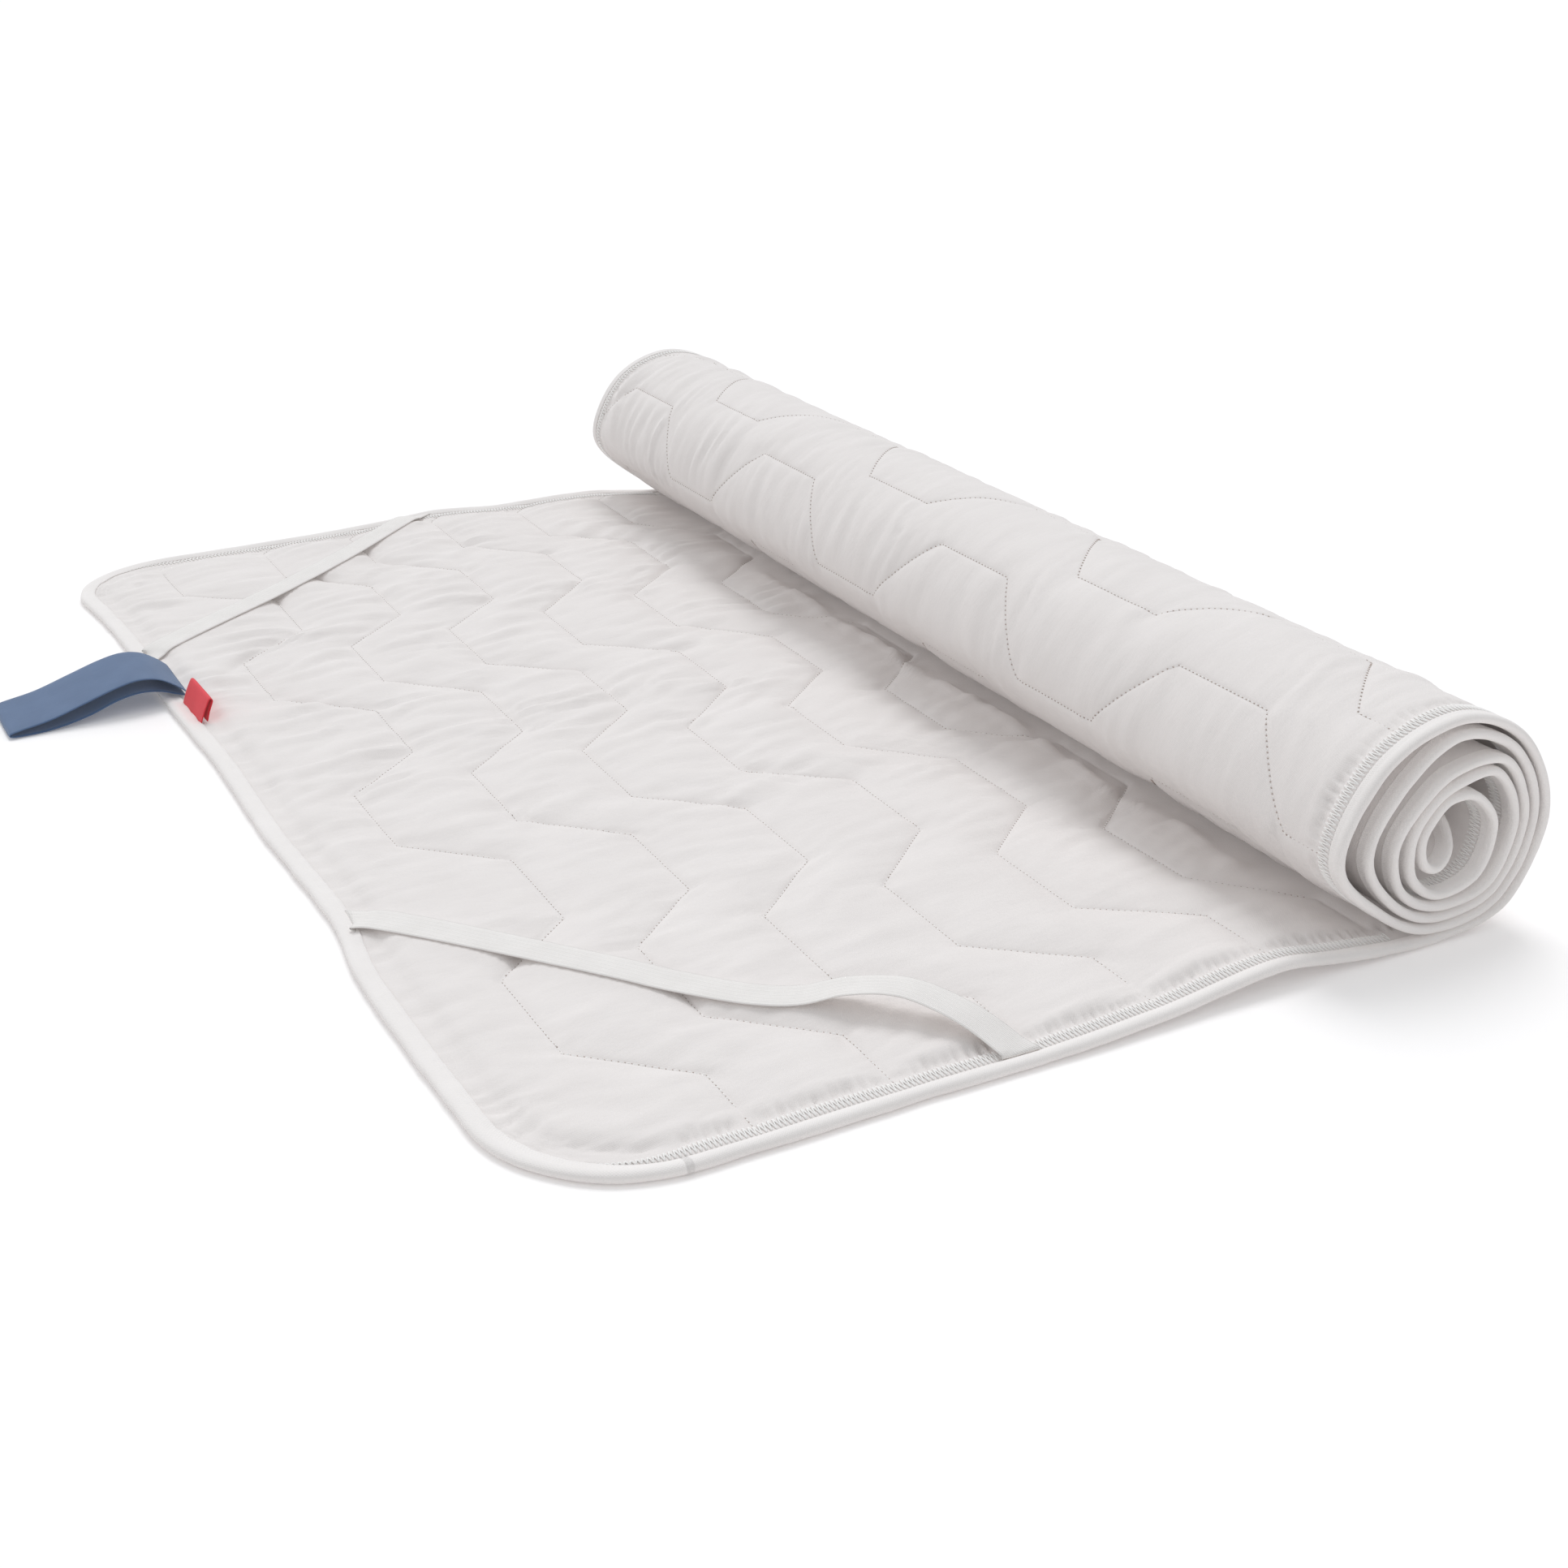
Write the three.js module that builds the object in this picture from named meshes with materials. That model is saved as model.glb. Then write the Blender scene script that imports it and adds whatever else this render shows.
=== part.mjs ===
// A quilted single-bed mattress protector, lying on its underside: one end is spread flat and
// the rest is rolled up loosely, so the wound layers show at both ends of the roll.
// Millimetres, +Z up. X runs along the cloth from its free end to the roll, Y across it.
import * as THREE from 'three';

// Cut of the cloth between its bound edges
const CLOTH_WIDTH = 884;
const CLOTH_LENGTH = 1780;
const CORNER_RADIUS = 64;
const FLAT_RUN = 459;
const ROLL_HEIGHT = 57;

// Thickness of the quilted cloth, measured from its middle surface
const HALF_THICKNESS = 2.6;
const SEAM_FRONT = 0.8;
const PUFF_FRONT = 4.9;
const PUFF_FULLNESS = 2.5;
const PRESSED_FRONT = 2.2;
const ROLLED_SEAM = 1.5;
const ROLLED_PUFF_BACK = 3.0;
const INNER_LAYER = 2.1;
const EDGE_PINCH = 16;

// Where the thickness changes: pressed under the roll, then free on both sides, then wound
const PRESSED_FROM = { start: -50, length: 40 };
const FREE_FROM = { start: 10, length: 60 };
const WOUND_BLEND = { start: -60, length: 40 };

// Quilting: parallel seams that step sideways and back, all alike
const SEAM_COUNT = 12;
const SEAM_FIRST = 50;
const SEAM_SPACING = 67.8;
const SEAM_STRAIGHT = 72;
const SEAM_SLANT = 44.5;
const SEAM_STEP = 48;
const SEAM_PHASE = 135;
const PATTERN_LENGTH = 2 * (SEAM_STRAIGHT + SEAM_SLANT);
const CHANNEL_COLUMNS = [0, 0.22, 0.5, 0.78];
const TAIL_COLUMNS = [0, 0.2, 0.4, 0.6, 0.8];
const MARGIN_COLUMNS = [0, 3, 10, 24, 42];
const RIM_ROW = 0.6 * EDGE_PINCH;
const CORNER_ROWS = CORNER_RADIUS + 26;
const ROWS_APART = 6;
const LAST_SEAM_MARGIN = 62;

// The first seams lie flat. Slack under the roll moves the others back, and the roll is a
// little askew, which moves them towards the near edge.
const FLAT_SEAMS = 7;
const ROLLED_SEAMS_BACK = 30;
const ROLLED_SEAMS_ASIDE = 20;

// The wound layers: outer radius of each turn about the roll's axis, from under the roll round
// by the side away from the free end, over the top and back down
const TURNS = [
  { down: 57, downOut: 65.5, out: 66, upOut: 62.5, up: 62.5, upIn: 64, inward: 67, downIn: 50 },
  { down: 51, downOut: 59, out: 59, upOut: 56, up: 54, upIn: 47, inward: 50, downIn: 43 },
  { down: 45, downOut: 52.5, out: 52.5, upOut: 49, up: 36, upIn: 30.5, inward: 34, downIn: 36 },
  { down: 39, downOut: 46.5, out: 46, upOut: 42, up: 28.5, upIn: 24, inward: 24, downIn: 28 },
  { down: 33, downOut: 36, out: 33, upOut: 27, up: 22, upIn: 17.5, inward: 17.5, downIn: 19 },
  { down: 20, downOut: 19, out: 16, upOut: 14, up: 13.5, upIn: 13, inward: 12, downIn: 11 },
];
const TURN_DIRECTIONS = ['down', 'downOut', 'out', 'upOut', 'up', 'upIn', 'inward', 'downIn'];
const ROLL_STEP = Math.PI / 10;
const FLOOR_STEPS = 10;
const WINDING_DIVISIONS = 4000;

// How the long edges wander sideways and lift off the floor, by distance from the free end
const LONG_EDGES = [
  { along: 0, near: 1, far: -14, nearLift: 0, midLift: 0, farLift: 0 },
  { along: 70, near: 0, far: -12, nearLift: 0, midLift: 0, farLift: 0 },
  { along: 110, near: 0.8, far: -10, nearLift: 0, midLift: 0, farLift: 0 },
  { along: 175, near: 2.6, far: -5, nearLift: 0, midLift: 0, farLift: 0 },
  { along: 230, near: 2.4, far: 1, nearLift: 0, midLift: 0.5, farLift: 1 },
  { along: 262, near: 2.6, far: 5, nearLift: 1, midLift: 2, farLift: 3 },
  { along: 310, near: 5, far: -4, nearLift: 3, midLift: 3.5, farLift: 2 },
  { along: 350, near: 7.5, far: -6, nearLift: 7, midLift: 3, farLift: 4 },
  { along: 372, near: 8, far: -7.5, nearLift: 9, midLift: 2, farLift: 4.5 },
  { along: 395, near: 7.5, far: -9, nearLift: 4.5, midLift: 1.5, farLift: 5 },
  { along: 430, near: 6, far: -13, nearLift: 1.5, midLift: 0, farLift: 1.5 },
  { along: 450, near: 6.5, far: -15, nearLift: 0, midLift: 0, farLift: 0 },
];
const EDGE_REACH = 250;

// How the free end wanders, by distance from the near edge
const FREE_END = [
  { across: 0, out: 1 },
  { across: 60, out: 1.5 },
  { across: 120, out: -1 },
  { across: 205, out: -2.5 },
  { across: 262, out: 4.5 },
  { across: 310, out: 2.5 },
  { across: 370, out: -0.8 },
  { across: 480, out: 0 },
  { across: 545, out: -3 },
  { across: 600, out: -5.4 },
  { across: 712, out: -6.5 },
  { across: 784, out: -10.5 },
  { across: 831, out: -15.5 },
  { across: 884, out: -16 },
];
const FREE_END_REACH = 110;

// Corded binding along the whole rim
const BINDING_WIDTH = 8;
const BINDING_HALF_FLAT = 3.2;
const BINDING_HALF_ROLLED = 2.5;
const BINDING_THINS = { start: -90, length: 60 };
const BINDING_SECTION = [
  { out: 0, rise: -0.66 },
  { out: 0, rise: 0.66 },
  { out: 0.46, rise: 1 },
  { out: 0.92, rise: 0.5 },
  { out: 0.92, rise: -0.5 },
  { out: 0.46, rise: -1 },
];

// Distance that neighbouring pieces keep from each other
const GAP = 0.3;

// Elastic corner straps, by their underside: along, across and height on the cloth
const STRAP_WIDTH = 18;
const STRAP_THICKNESS = 1.2;
const STRAP_REST = 8.1;
const STRAP_RISE = 7.2;
const STRAP_END = 4.2;
const NEAR_STRAP = [
  { along: 0.6, across: 256, height: STRAP_END },
  { along: 7, across: 249.5, height: STRAP_RISE },
  { along: 15, across: 242, height: STRAP_REST },
  { along: 43, across: 214, height: STRAP_REST },
  { along: 94.5, across: 151, height: STRAP_REST },
  { along: 119, across: 120, height: STRAP_REST },
  { along: 144, across: 94, height: STRAP_REST },
  { along: 160, across: 83, height: 9 },
  { along: 178, across: 70, height: 15.5 },
  { along: 197, across: 49, height: 19.5 },
  { along: 214, across: 23, height: 13.5 },
  { along: 225, across: 0.6, height: STRAP_END },
];
const NEAR_STRAP_STEPS = 32;
const FAR_STRAP = [
  { along: 0.6, across: 672, height: STRAP_END },
  { along: 7, across: 677.5, height: STRAP_RISE },
  { along: 18, across: 687, height: STRAP_REST },
  { along: 122, across: 777, height: STRAP_REST + 0.6 },
  { along: 226, across: 868, height: STRAP_REST },
  { along: 236, across: 876.5, height: STRAP_RISE },
  { along: 244, across: 883.4, height: STRAP_END },
];
const FAR_STRAP_STEPS = 30;

// Woven ribbon loop and small folded tag at the free end, as sections across that edge
const RIBBON_WIDTH = 54;
const RIBBON_ACROSS = 619;
const RIBBON_SKEW = 10;
const RIBBON_THICKNESS = 0.9;
const RIBBON_SECTION = [
  { along: 5, height: 5.6 },
  { along: -1, height: 7.6 },
  { along: -10, height: 11 },
  { along: -22, height: 12.5 },
  { along: -36, height: 10.5 },
  { along: -55, height: 4.5 },
  { along: -76, height: 0.9 },
  { along: -96, height: 0.7 },
  { along: -101.5, height: 2.2 },
  { along: -96, height: 3.9 },
  { along: -76, height: 7 },
  { along: -55, height: 13 },
  { along: -36, height: 18.4 },
  { along: -22, height: 20.6 },
  { along: -10, height: 18.6 },
  { along: 0, height: 12.6 },
  { along: 6, height: 7.4 },
];
const RIBBON_STEPS = 36;
const TAG_WIDTH = 40;
const TAG_ACROSS = 563;
const TAG_THICKNESS = 0.7;
const TAG_SECTION = [
  { along: 1.2, height: 4.3 },
  { along: 3.6, height: 11 },
  { along: 6.6, height: 17.4 },
  { along: 8, height: 19.2 },
  { along: 9.3, height: 17.8 },
  { along: 6.9, height: 11.6 },
  { along: 5, height: 5.4 },
];
const TAG_STEPS = 14;

const WHITE_COTTON = { color: 0xe9e7e4, roughness: 0.92, metalness: 0 };
const WHITE_BINDING = { color: 0xf1efec, roughness: 0.85, metalness: 0 };
const WHITE_ELASTIC = { color: 0xeceae4, roughness: 0.8, metalness: 0 };
const BLUE_RIBBON = { color: 0x526c92, roughness: 0.7, metalness: 0 };
const RED_WOVEN = { color: 0xd92c38, roughness: 0.75, metalness: 0 };

const clamp01 = (value) => Math.min(1, Math.max(0, value));
const mix = (from, to, share) => from + (to - from) * share;
const smooth = (share) => clamp01(share) ** 2 * (3 - 2 * clamp01(share));

// Value of one named column of a table whose rows go up by their key column
function tableValue(rows, key, at, column) {
  const next = rows.findIndex((row) => row[key] > at);
  if (next === 0) return rows[0][column];
  if (next < 0) return rows[rows.length - 1][column];
  const before = rows[next - 1];
  const after = rows[next];
  return mix(before[column], after[column], (at - before[key]) / (after[key] - before[key]));
}

// Where the pattern of a quilting seam has got to at the near edge
const seamPhase = (seam) => SEAM_PHASE + (seam < FLAT_SEAMS ? 0 : ROLLED_SEAMS_ASIDE);

// Distance of a quilting seam along the cloth, at a distance across it
function seamAlong(seam, across) {
  const place = (across + seamPhase(seam)) % PATTERN_LENGTH;
  const outward = clamp01((place - SEAM_STRAIGHT) / SEAM_SLANT);
  const back = clamp01((place - 2 * SEAM_STRAIGHT - SEAM_SLANT) / SEAM_SLANT);
  const start = SEAM_FIRST + seam * SEAM_SPACING - (seam < FLAT_SEAMS ? 0 : ROLLED_SEAMS_BACK);
  return start + SEAM_STEP * (outward - back);
}

// The cloth's middle line seen from the near end: straight on the floor, then wound
function windingCurve() {
  const points = [];
  const floorStep = FLAT_RUN / FLOOR_STEPS;
  for (let step = -1; step < FLOOR_STEPS; step += 1) {
    points.push(new THREE.Vector2(step * floorStep, HALF_THICKNESS));
  }
  TURNS.forEach((turn) => {
    TURN_DIRECTIONS.forEach((direction, eighth) => {
      const angle = (eighth / TURN_DIRECTIONS.length - 0.25) * 2 * Math.PI;
      const radius = turn[direction] - HALF_THICKNESS;
      const along = FLAT_RUN + radius * Math.cos(angle);
      points.push(new THREE.Vector2(along, ROLL_HEIGHT + radius * Math.sin(angle)));
    });
  });
  const curve = new THREE.SplineCurve(points);
  curve.arcLengthDivisions = WINDING_DIVISIONS;
  return { curve, start: -floorStep, length: curve.getLength() };
}

const winding = windingCurve();

// Place of the middle line at a distance along the cloth, and the direction its face looks
function windingAt(along) {
  if (along < FLAT_RUN) return { x: along, z: HALF_THICKNESS, faceX: 0, faceZ: 1 };
  const share = (along - winding.start) / winding.length;
  const place = winding.curve.getPointAt(share);
  const heading = winding.curve.getTangentAt(share);
  return { x: place.x, z: place.y, faceX: -heading.y, faceZ: heading.x };
}

// A point of the cloth: distance along it, distance across it, height over its middle surface
function clothPoint(along, across, height) {
  const place = windingAt(along);
  const nearShare = 1 - smooth(across / EDGE_REACH);
  const farShare = smooth((across - CLOTH_WIDTH + EDGE_REACH) / EDGE_REACH);
  const edge = (column) => tableValue(LONG_EDGES, 'along', along, column);
  const lift = edge('nearLift') * nearShare + edge('farLift') * farShare
    + edge('midLift') * (1 - nearShare - farShare);
  const endShare = 1 - smooth(along / FREE_END_REACH);
  const endShift = tableValue(FREE_END, 'across', across, 'out') * endShare;
  const x = place.x + place.faceX * height + endShift;
  const y = across + edge('near') * nearShare + edge('far') * farShare;
  const z = place.z + place.faceZ * height + lift;
  return new THREE.Vector3(x, y, Math.max(0, z));
}

// How far the quilting has risen here: 0 on a seam or the rim, 1 in the middle of a channel
function quiltRise(along, across, rimDistance) {
  let seamDistance = SEAM_SPACING;
  for (let seam = 0; seam < SEAM_COUNT; seam += 1) {
    seamDistance = Math.min(seamDistance, Math.abs(along - seamAlong(seam, across)));
  }
  const rise = 1 - (1 - clamp01(2 * seamDistance / SEAM_SPACING)) ** PUFF_FULLNESS;
  return rise * clamp01(rimDistance / EDGE_PINCH);
}

// Heights of the upper and lower faces over the middle surface
function faceHeights(along, across, rimDistance) {
  const rise = quiltRise(along, across, rimDistance);
  const blend = (distance, { start, length }) => smooth((distance - start) / length);
  const pressed = blend(along - FLAT_RUN, PRESSED_FROM);
  const free = blend(along - FLAT_RUN, FREE_FROM);
  const wound = blend(along - columnsEnd, WOUND_BLEND);
  const flatFront = mix(SEAM_FRONT, mix(PUFF_FRONT, PRESSED_FRONT, pressed), rise);
  const rolledFront = mix(ROLLED_SEAM, PRESSED_FRONT, rise);
  const rolledBack = mix(ROLLED_SEAM, ROLLED_PUFF_BACK, rise);
  return {
    front: mix(mix(flatFront, rolledFront, free), INNER_LAYER, wound),
    back: mix(mix(HALF_THICKNESS, rolledBack, free), INNER_LAYER, wound),
  };
}

// Distance from the near or far edge at which the rounded corner starts, at a distance from
// the free or the wound end
function cornerInset(endDistance) {
  if (endDistance >= CORNER_RADIUS) return 0;
  return CORNER_RADIUS - Math.sqrt(CORNER_RADIUS ** 2 - (CORNER_RADIUS - endDistance) ** 2);
}

// Squeezes a row between the rounded corners
function squeezeRow(across, inset) {
  const half = CLOTH_WIDTH / 2;
  const fromRim = half - Math.abs(across - half);
  if (fromRim >= CORNER_ROWS) return across;
  const squeezed = inset + (fromRim / CORNER_ROWS) * (CORNER_ROWS - inset);
  return across < half ? squeezed : CLOTH_WIDTH - squeezed;
}

// Distances across the cloth that follow the bends of a seam, with one between each two
function quiltedRows(seam) {
  const rows = [0, RIM_ROW, CLOTH_WIDTH - RIM_ROW, CLOTH_WIDTH];
  const bends = [0, SEAM_STRAIGHT / 2, SEAM_STRAIGHT, SEAM_STRAIGHT + SEAM_SLANT / 2];
  for (let start = -seamPhase(seam); start < CLOTH_WIDTH; start += SEAM_STRAIGHT + SEAM_SLANT) {
    bends.forEach((bend) => {
      const row = start + bend;
      const fromRim = Math.min(row, CLOTH_WIDTH - row);
      if (fromRim > RIM_ROW + ROWS_APART) rows.push(row);
    });
  }
  return rows.sort((a, b) => a - b);
}

const plainRows = [0, RIM_ROW, CLOTH_WIDTH / 2, CLOTH_WIDTH - RIM_ROW, CLOTH_WIDTH];
const lastSeam = SEAM_COUNT - 1;
const columnsEnd = SEAM_FIRST + lastSeam * SEAM_SPACING - ROLLED_SEAMS_BACK + SEAM_STEP
  + LAST_SEAM_MARGIN;

// Columns of the flat end and the outer turn, which follow the seams
function quiltedColumns() {
  const columns = MARGIN_COLUMNS.map((along) => ({ alongAt: () => along, rows: quiltedRows(0) }));
  const lastMargin = MARGIN_COLUMNS[MARGIN_COLUMNS.length - 1];
  columns.push({
    alongAt: (across) => (lastMargin + seamAlong(0, across)) / 2,
    rows: quiltedRows(0),
  });
  for (let seam = 0; seam < lastSeam; seam += 1) {
    CHANNEL_COLUMNS.forEach((share) => {
      const alongAt = (across) => mix(seamAlong(seam, across), seamAlong(seam + 1, across), share);
      columns.push({ alongAt, rows: quiltedRows(seam) });
    });
  }
  TAIL_COLUMNS.forEach((share) => {
    const alongAt = (across) => mix(seamAlong(lastSeam, across), columnsEnd, share);
    columns.push({ alongAt, rows: quiltedRows(lastSeam) });
  });
  columns.push({ alongAt: () => columnsEnd, rows: quiltedRows(lastSeam) });
  return columns;
}

// Columns of the wound layers, closer together as the turns get tighter
function woundColumns() {
  const places = [];
  let along = columnsEnd;
  while (along < CLOTH_LENGTH) {
    const place = windingAt(along);
    along += ROLL_STEP * Math.hypot(place.x - FLAT_RUN, place.z - ROLL_HEIGHT);
    places.push(along);
  }
  const end = places.pop();
  const stretch = (CLOTH_LENGTH - columnsEnd) / (end - columnsEnd);
  return [...places, end].map((place) => {
    const at = columnsEnd + (place - columnsEnd) * stretch;
    return { alongAt: () => at, rows: plainRows };
  });
}

// All nodes of the cloth, column by column
function clothColumns() {
  return [...quiltedColumns(), ...woundColumns()].map(({ alongAt, rows }) => rows.map((row) => {
    const along = alongAt(row);
    const endDistance = Math.min(along, CLOTH_LENGTH - along);
    const inset = cornerInset(endDistance);
    const across = squeezeRow(row, inset);
    const fromSide = Math.min(across, CLOTH_WIDTH - across) - inset;
    return { along, across, rimDistance: Math.min(endDistance, fromSide) };
  }));
}

// Triangles between two neighbouring columns, always across the shorter diagonal
function stripTriangles(left, right) {
  const span = (a, b) => Math.hypot(a.along - b.along, a.across - b.across);
  const triangles = [];
  let i = 0;
  let j = 0;
  while (i < left.length - 1 || j < right.length - 1) {
    const leftSpan = i < left.length - 1 ? span(left[i + 1], right[j]) : Infinity;
    const rightSpan = j < right.length - 1 ? span(left[i], right[j + 1]) : Infinity;
    if (leftSpan < rightSpan) {
      triangles.push([left[i], right[j], left[i + 1]]);
      i += 1;
    } else {
      triangles.push([left[i], right[j], right[j + 1]]);
      j += 1;
    }
  }
  return triangles;
}

// The rim of the cloth as one loop of nodes, counter-clockwise seen from above
function rimLoop(columns) {
  const last = columns.length - 1;
  const near = columns.map((column) => column[0]);
  const far = columns.map((column) => column[column.length - 1]).reverse();
  return [...near, ...columns[last].slice(1, -1), ...far, ...columns[0].slice(1, -1).reverse()];
}

function geometryFrom(positions, indices) {
  const geometry = new THREE.BufferGeometry();
  geometry.setAttribute('position', new THREE.Float32BufferAttribute(positions, 3));
  geometry.setIndex(indices);
  geometry.computeVertexNormals();
  return geometry;
}

// The quilted cloth as one closed solid: upper face, lower face and the cut rim
function panelGeometry(columns) {
  const nodes = columns.flat();
  const positions = [];
  nodes.forEach((node, index) => {
    const { front, back } = faceHeights(node.along, node.across, node.rimDistance);
    const upper = clothPoint(node.along, node.across, front);
    const lower = clothPoint(node.along, node.across, -back);
    positions.push(...upper.toArray(), ...lower.toArray());
    node.upper = 2 * index;
    node.lower = 2 * index + 1;
  });
  const indices = [];
  for (let column = 0; column < columns.length - 1; column += 1) {
    stripTriangles(columns[column], columns[column + 1]).forEach(([a, b, c]) => {
      indices.push(a.upper, b.upper, c.upper, c.lower, b.lower, a.lower);
    });
  }
  const rim = rimLoop(columns);
  rim.forEach((node, index) => {
    const next = rim[(index + 1) % rim.length];
    indices.push(node.lower, next.lower, next.upper, node.lower, next.upper, node.upper);
  });
  return geometryFrom(positions, indices);
}

// Outward direction of the rim at a node, long enough to keep the binding's width in corners
function rimOutward(rim, index) {
  const count = rim.length;
  const edgeNormal = (from, to) => {
    const edge = new THREE.Vector2(to.along - from.along, to.across - from.across).normalize();
    return new THREE.Vector2(edge.y, -edge.x);
  };
  const before = edgeNormal(rim[(index + count - 1) % count], rim[index]);
  const after = edgeNormal(rim[index], rim[(index + 1) % count]);
  const outward = before.clone().add(after).normalize();
  return outward.divideScalar(outward.dot(after));
}

// The corded binding, one closed ring round the rim
function bindingGeometry(columns) {
  const rim = rimLoop(columns);
  const positions = [];
  rim.forEach((node, index) => {
    const outward = rimOutward(rim, index);
    const rolled = smooth((node.along - FLAT_RUN - BINDING_THINS.start) / BINDING_THINS.length);
    const half = mix(BINDING_HALF_FLAT, BINDING_HALF_ROLLED, rolled);
    const centre = half - BINDING_HALF_ROLLED;
    BINDING_SECTION.forEach(({ out, rise }) => {
      const distance = GAP + out * BINDING_WIDTH;
      const along = node.along + outward.x * distance;
      const across = node.across + outward.y * distance;
      positions.push(...clothPoint(along, across, centre + rise * half).toArray());
    });
  });
  const sides = BINDING_SECTION.length;
  const indices = [];
  rim.forEach((node, station) => {
    const next = (station + 1) % rim.length;
    for (let side = 0; side < sides; side += 1) {
      const other = (side + 1) % sides;
      const [a, b] = [station * sides + side, station * sides + other];
      const [c, d] = [next * sides + other, next * sides + side];
      indices.push(a, b, c, a, c, d);
    }
  });
  return geometryFrom(positions, indices);
}

// A thin flat band as one closed solid, from its stations: each has the two upper and the two
// lower corners of its section
function bandGeometry(stations) {
  const positions = [];
  stations.forEach(({ leftUpper, rightUpper, rightLower, leftLower }) => {
    const corners = [leftUpper, rightUpper, rightLower, leftLower];
    corners.forEach((corner) => positions.push(...corner.toArray()));
  });
  const indices = [];
  for (let station = 0; station < stations.length - 1; station += 1) {
    for (let side = 0; side < 4; side += 1) {
      const a = station * 4 + side;
      const b = station * 4 + ((side + 1) % 4);
      indices.push(a, b, b + 4, a, b + 4, a + 4);
    }
  }
  const end = (stations.length - 1) * 4;
  indices.push(0, 2, 1, 0, 3, 2, end, end + 1, end + 2, end, end + 2, end + 3);
  return geometryFrom(positions, indices);
}

// An elastic strap across a corner: one end is cut along the free end, the other along a long edge
function strapGeometry(route, steps) {
  const freeEndCut = new THREE.Vector3(0, 1, 0);
  const longEdgeCut = new THREE.Vector3(1, 0, 0);
  const points = route.map(({ along, across, height }) => new THREE.Vector3(along, across, height));
  const curve = new THREE.CatmullRomCurve3(points, false, 'centripetal');
  const stations = [];
  for (let step = 0; step <= steps; step += 1) {
    const place = curve.getPointAt(step / steps);
    const heading = curve.getTangentAt(step / steps).setZ(0).normalize();
    const square = new THREE.Vector3(-heading.y, heading.x, 0);
    const side = square.clone();
    if (step === 0) side.copy(freeEndCut);
    if (step === steps) side.copy(longEdgeCut);
    side.multiplyScalar(STRAP_WIDTH / 2 / side.dot(square));
    const corner = (sign, rise) => clothPoint(
      place.x + sign * side.x,
      place.y + sign * side.y,
      place.z + rise - HALF_THICKNESS,
    );
    stations.push({
      leftUpper: corner(1, STRAP_THICKNESS),
      rightUpper: corner(-1, STRAP_THICKNESS),
      rightLower: corner(-1, 0),
      leftLower: corner(1, 0),
    });
  }
  return bandGeometry(stations);
}

// A folded ribbon sewn to the free end: its section is swept across the ribbon's width
function ribbonGeometry({ section, width, across, skew, thickness, steps }) {
  const points = section.map(({ along, height }) => new THREE.Vector2(along, height));
  const curve = new THREE.SplineCurve(points);
  const reach = Math.min(...section.map(({ along }) => along));
  const stations = [];
  for (let step = 0; step <= steps; step += 1) {
    const place = curve.getPointAt(step / steps);
    const heading = curve.getTangentAt(step / steps);
    const shift = skew * clamp01(place.x / reach);
    const corner = (side, layer) => {
      const along = place.x - layer * heading.y * thickness / 2;
      const height = place.y + layer * heading.x * thickness / 2;
      return clothPoint(along, across - shift + side * width / 2, height - HALF_THICKNESS);
    };
    stations.push({
      leftUpper: corner(1, 1),
      rightUpper: corner(-1, 1),
      rightLower: corner(-1, -1),
      leftLower: corner(1, -1),
    });
  }
  return bandGeometry(stations);
}

function labelLoopGeometry() {
  return ribbonGeometry({
    section: RIBBON_SECTION,
    width: RIBBON_WIDTH,
    across: RIBBON_ACROSS,
    skew: RIBBON_SKEW,
    thickness: RIBBON_THICKNESS,
    steps: RIBBON_STEPS,
  });
}

function sideTagGeometry() {
  return ribbonGeometry({
    section: TAG_SECTION,
    width: TAG_WIDTH,
    across: TAG_ACROSS,
    skew: 0,
    thickness: TAG_THICKNESS,
    steps: TAG_STEPS,
  });
}

function namedMesh(name, geometry, finish) {
  const mesh = new THREE.Mesh(geometry, new THREE.MeshStandardMaterial(finish));
  mesh.name = name;
  return mesh;
}

const columns = clothColumns();
const protector = new THREE.Group();
protector.add(
  namedMesh('quilted_panel', panelGeometry(columns), WHITE_COTTON),
  namedMesh('edge_binding', bindingGeometry(columns), WHITE_BINDING),
  namedMesh('elastic_strap_near', strapGeometry(NEAR_STRAP, NEAR_STRAP_STEPS), WHITE_ELASTIC),
  namedMesh('elastic_strap_far', strapGeometry(FAR_STRAP, FAR_STRAP_STEPS), WHITE_ELASTIC),
  namedMesh('label_loop', labelLoopGeometry(), BLUE_RIBBON),
  namedMesh('side_tag', sideTagGeometry(), RED_WOVEN),
);

// The origin lies under the middle of the whole thing
const box = new THREE.Box3().setFromObject(protector);
const middle = box.getCenter(new THREE.Vector3());
protector.position.set(-middle.x, -middle.y, -box.min.z);

export default protector;
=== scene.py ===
"""The looks of a quilted single-bed mattress protector that is spread flat at one end and rolled
up at the other. Every piece is built in cloth coordinates, in millimetres: the distance along
the cloth from its free end, the distance across it and the height over its middle surface."""

import math

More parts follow.
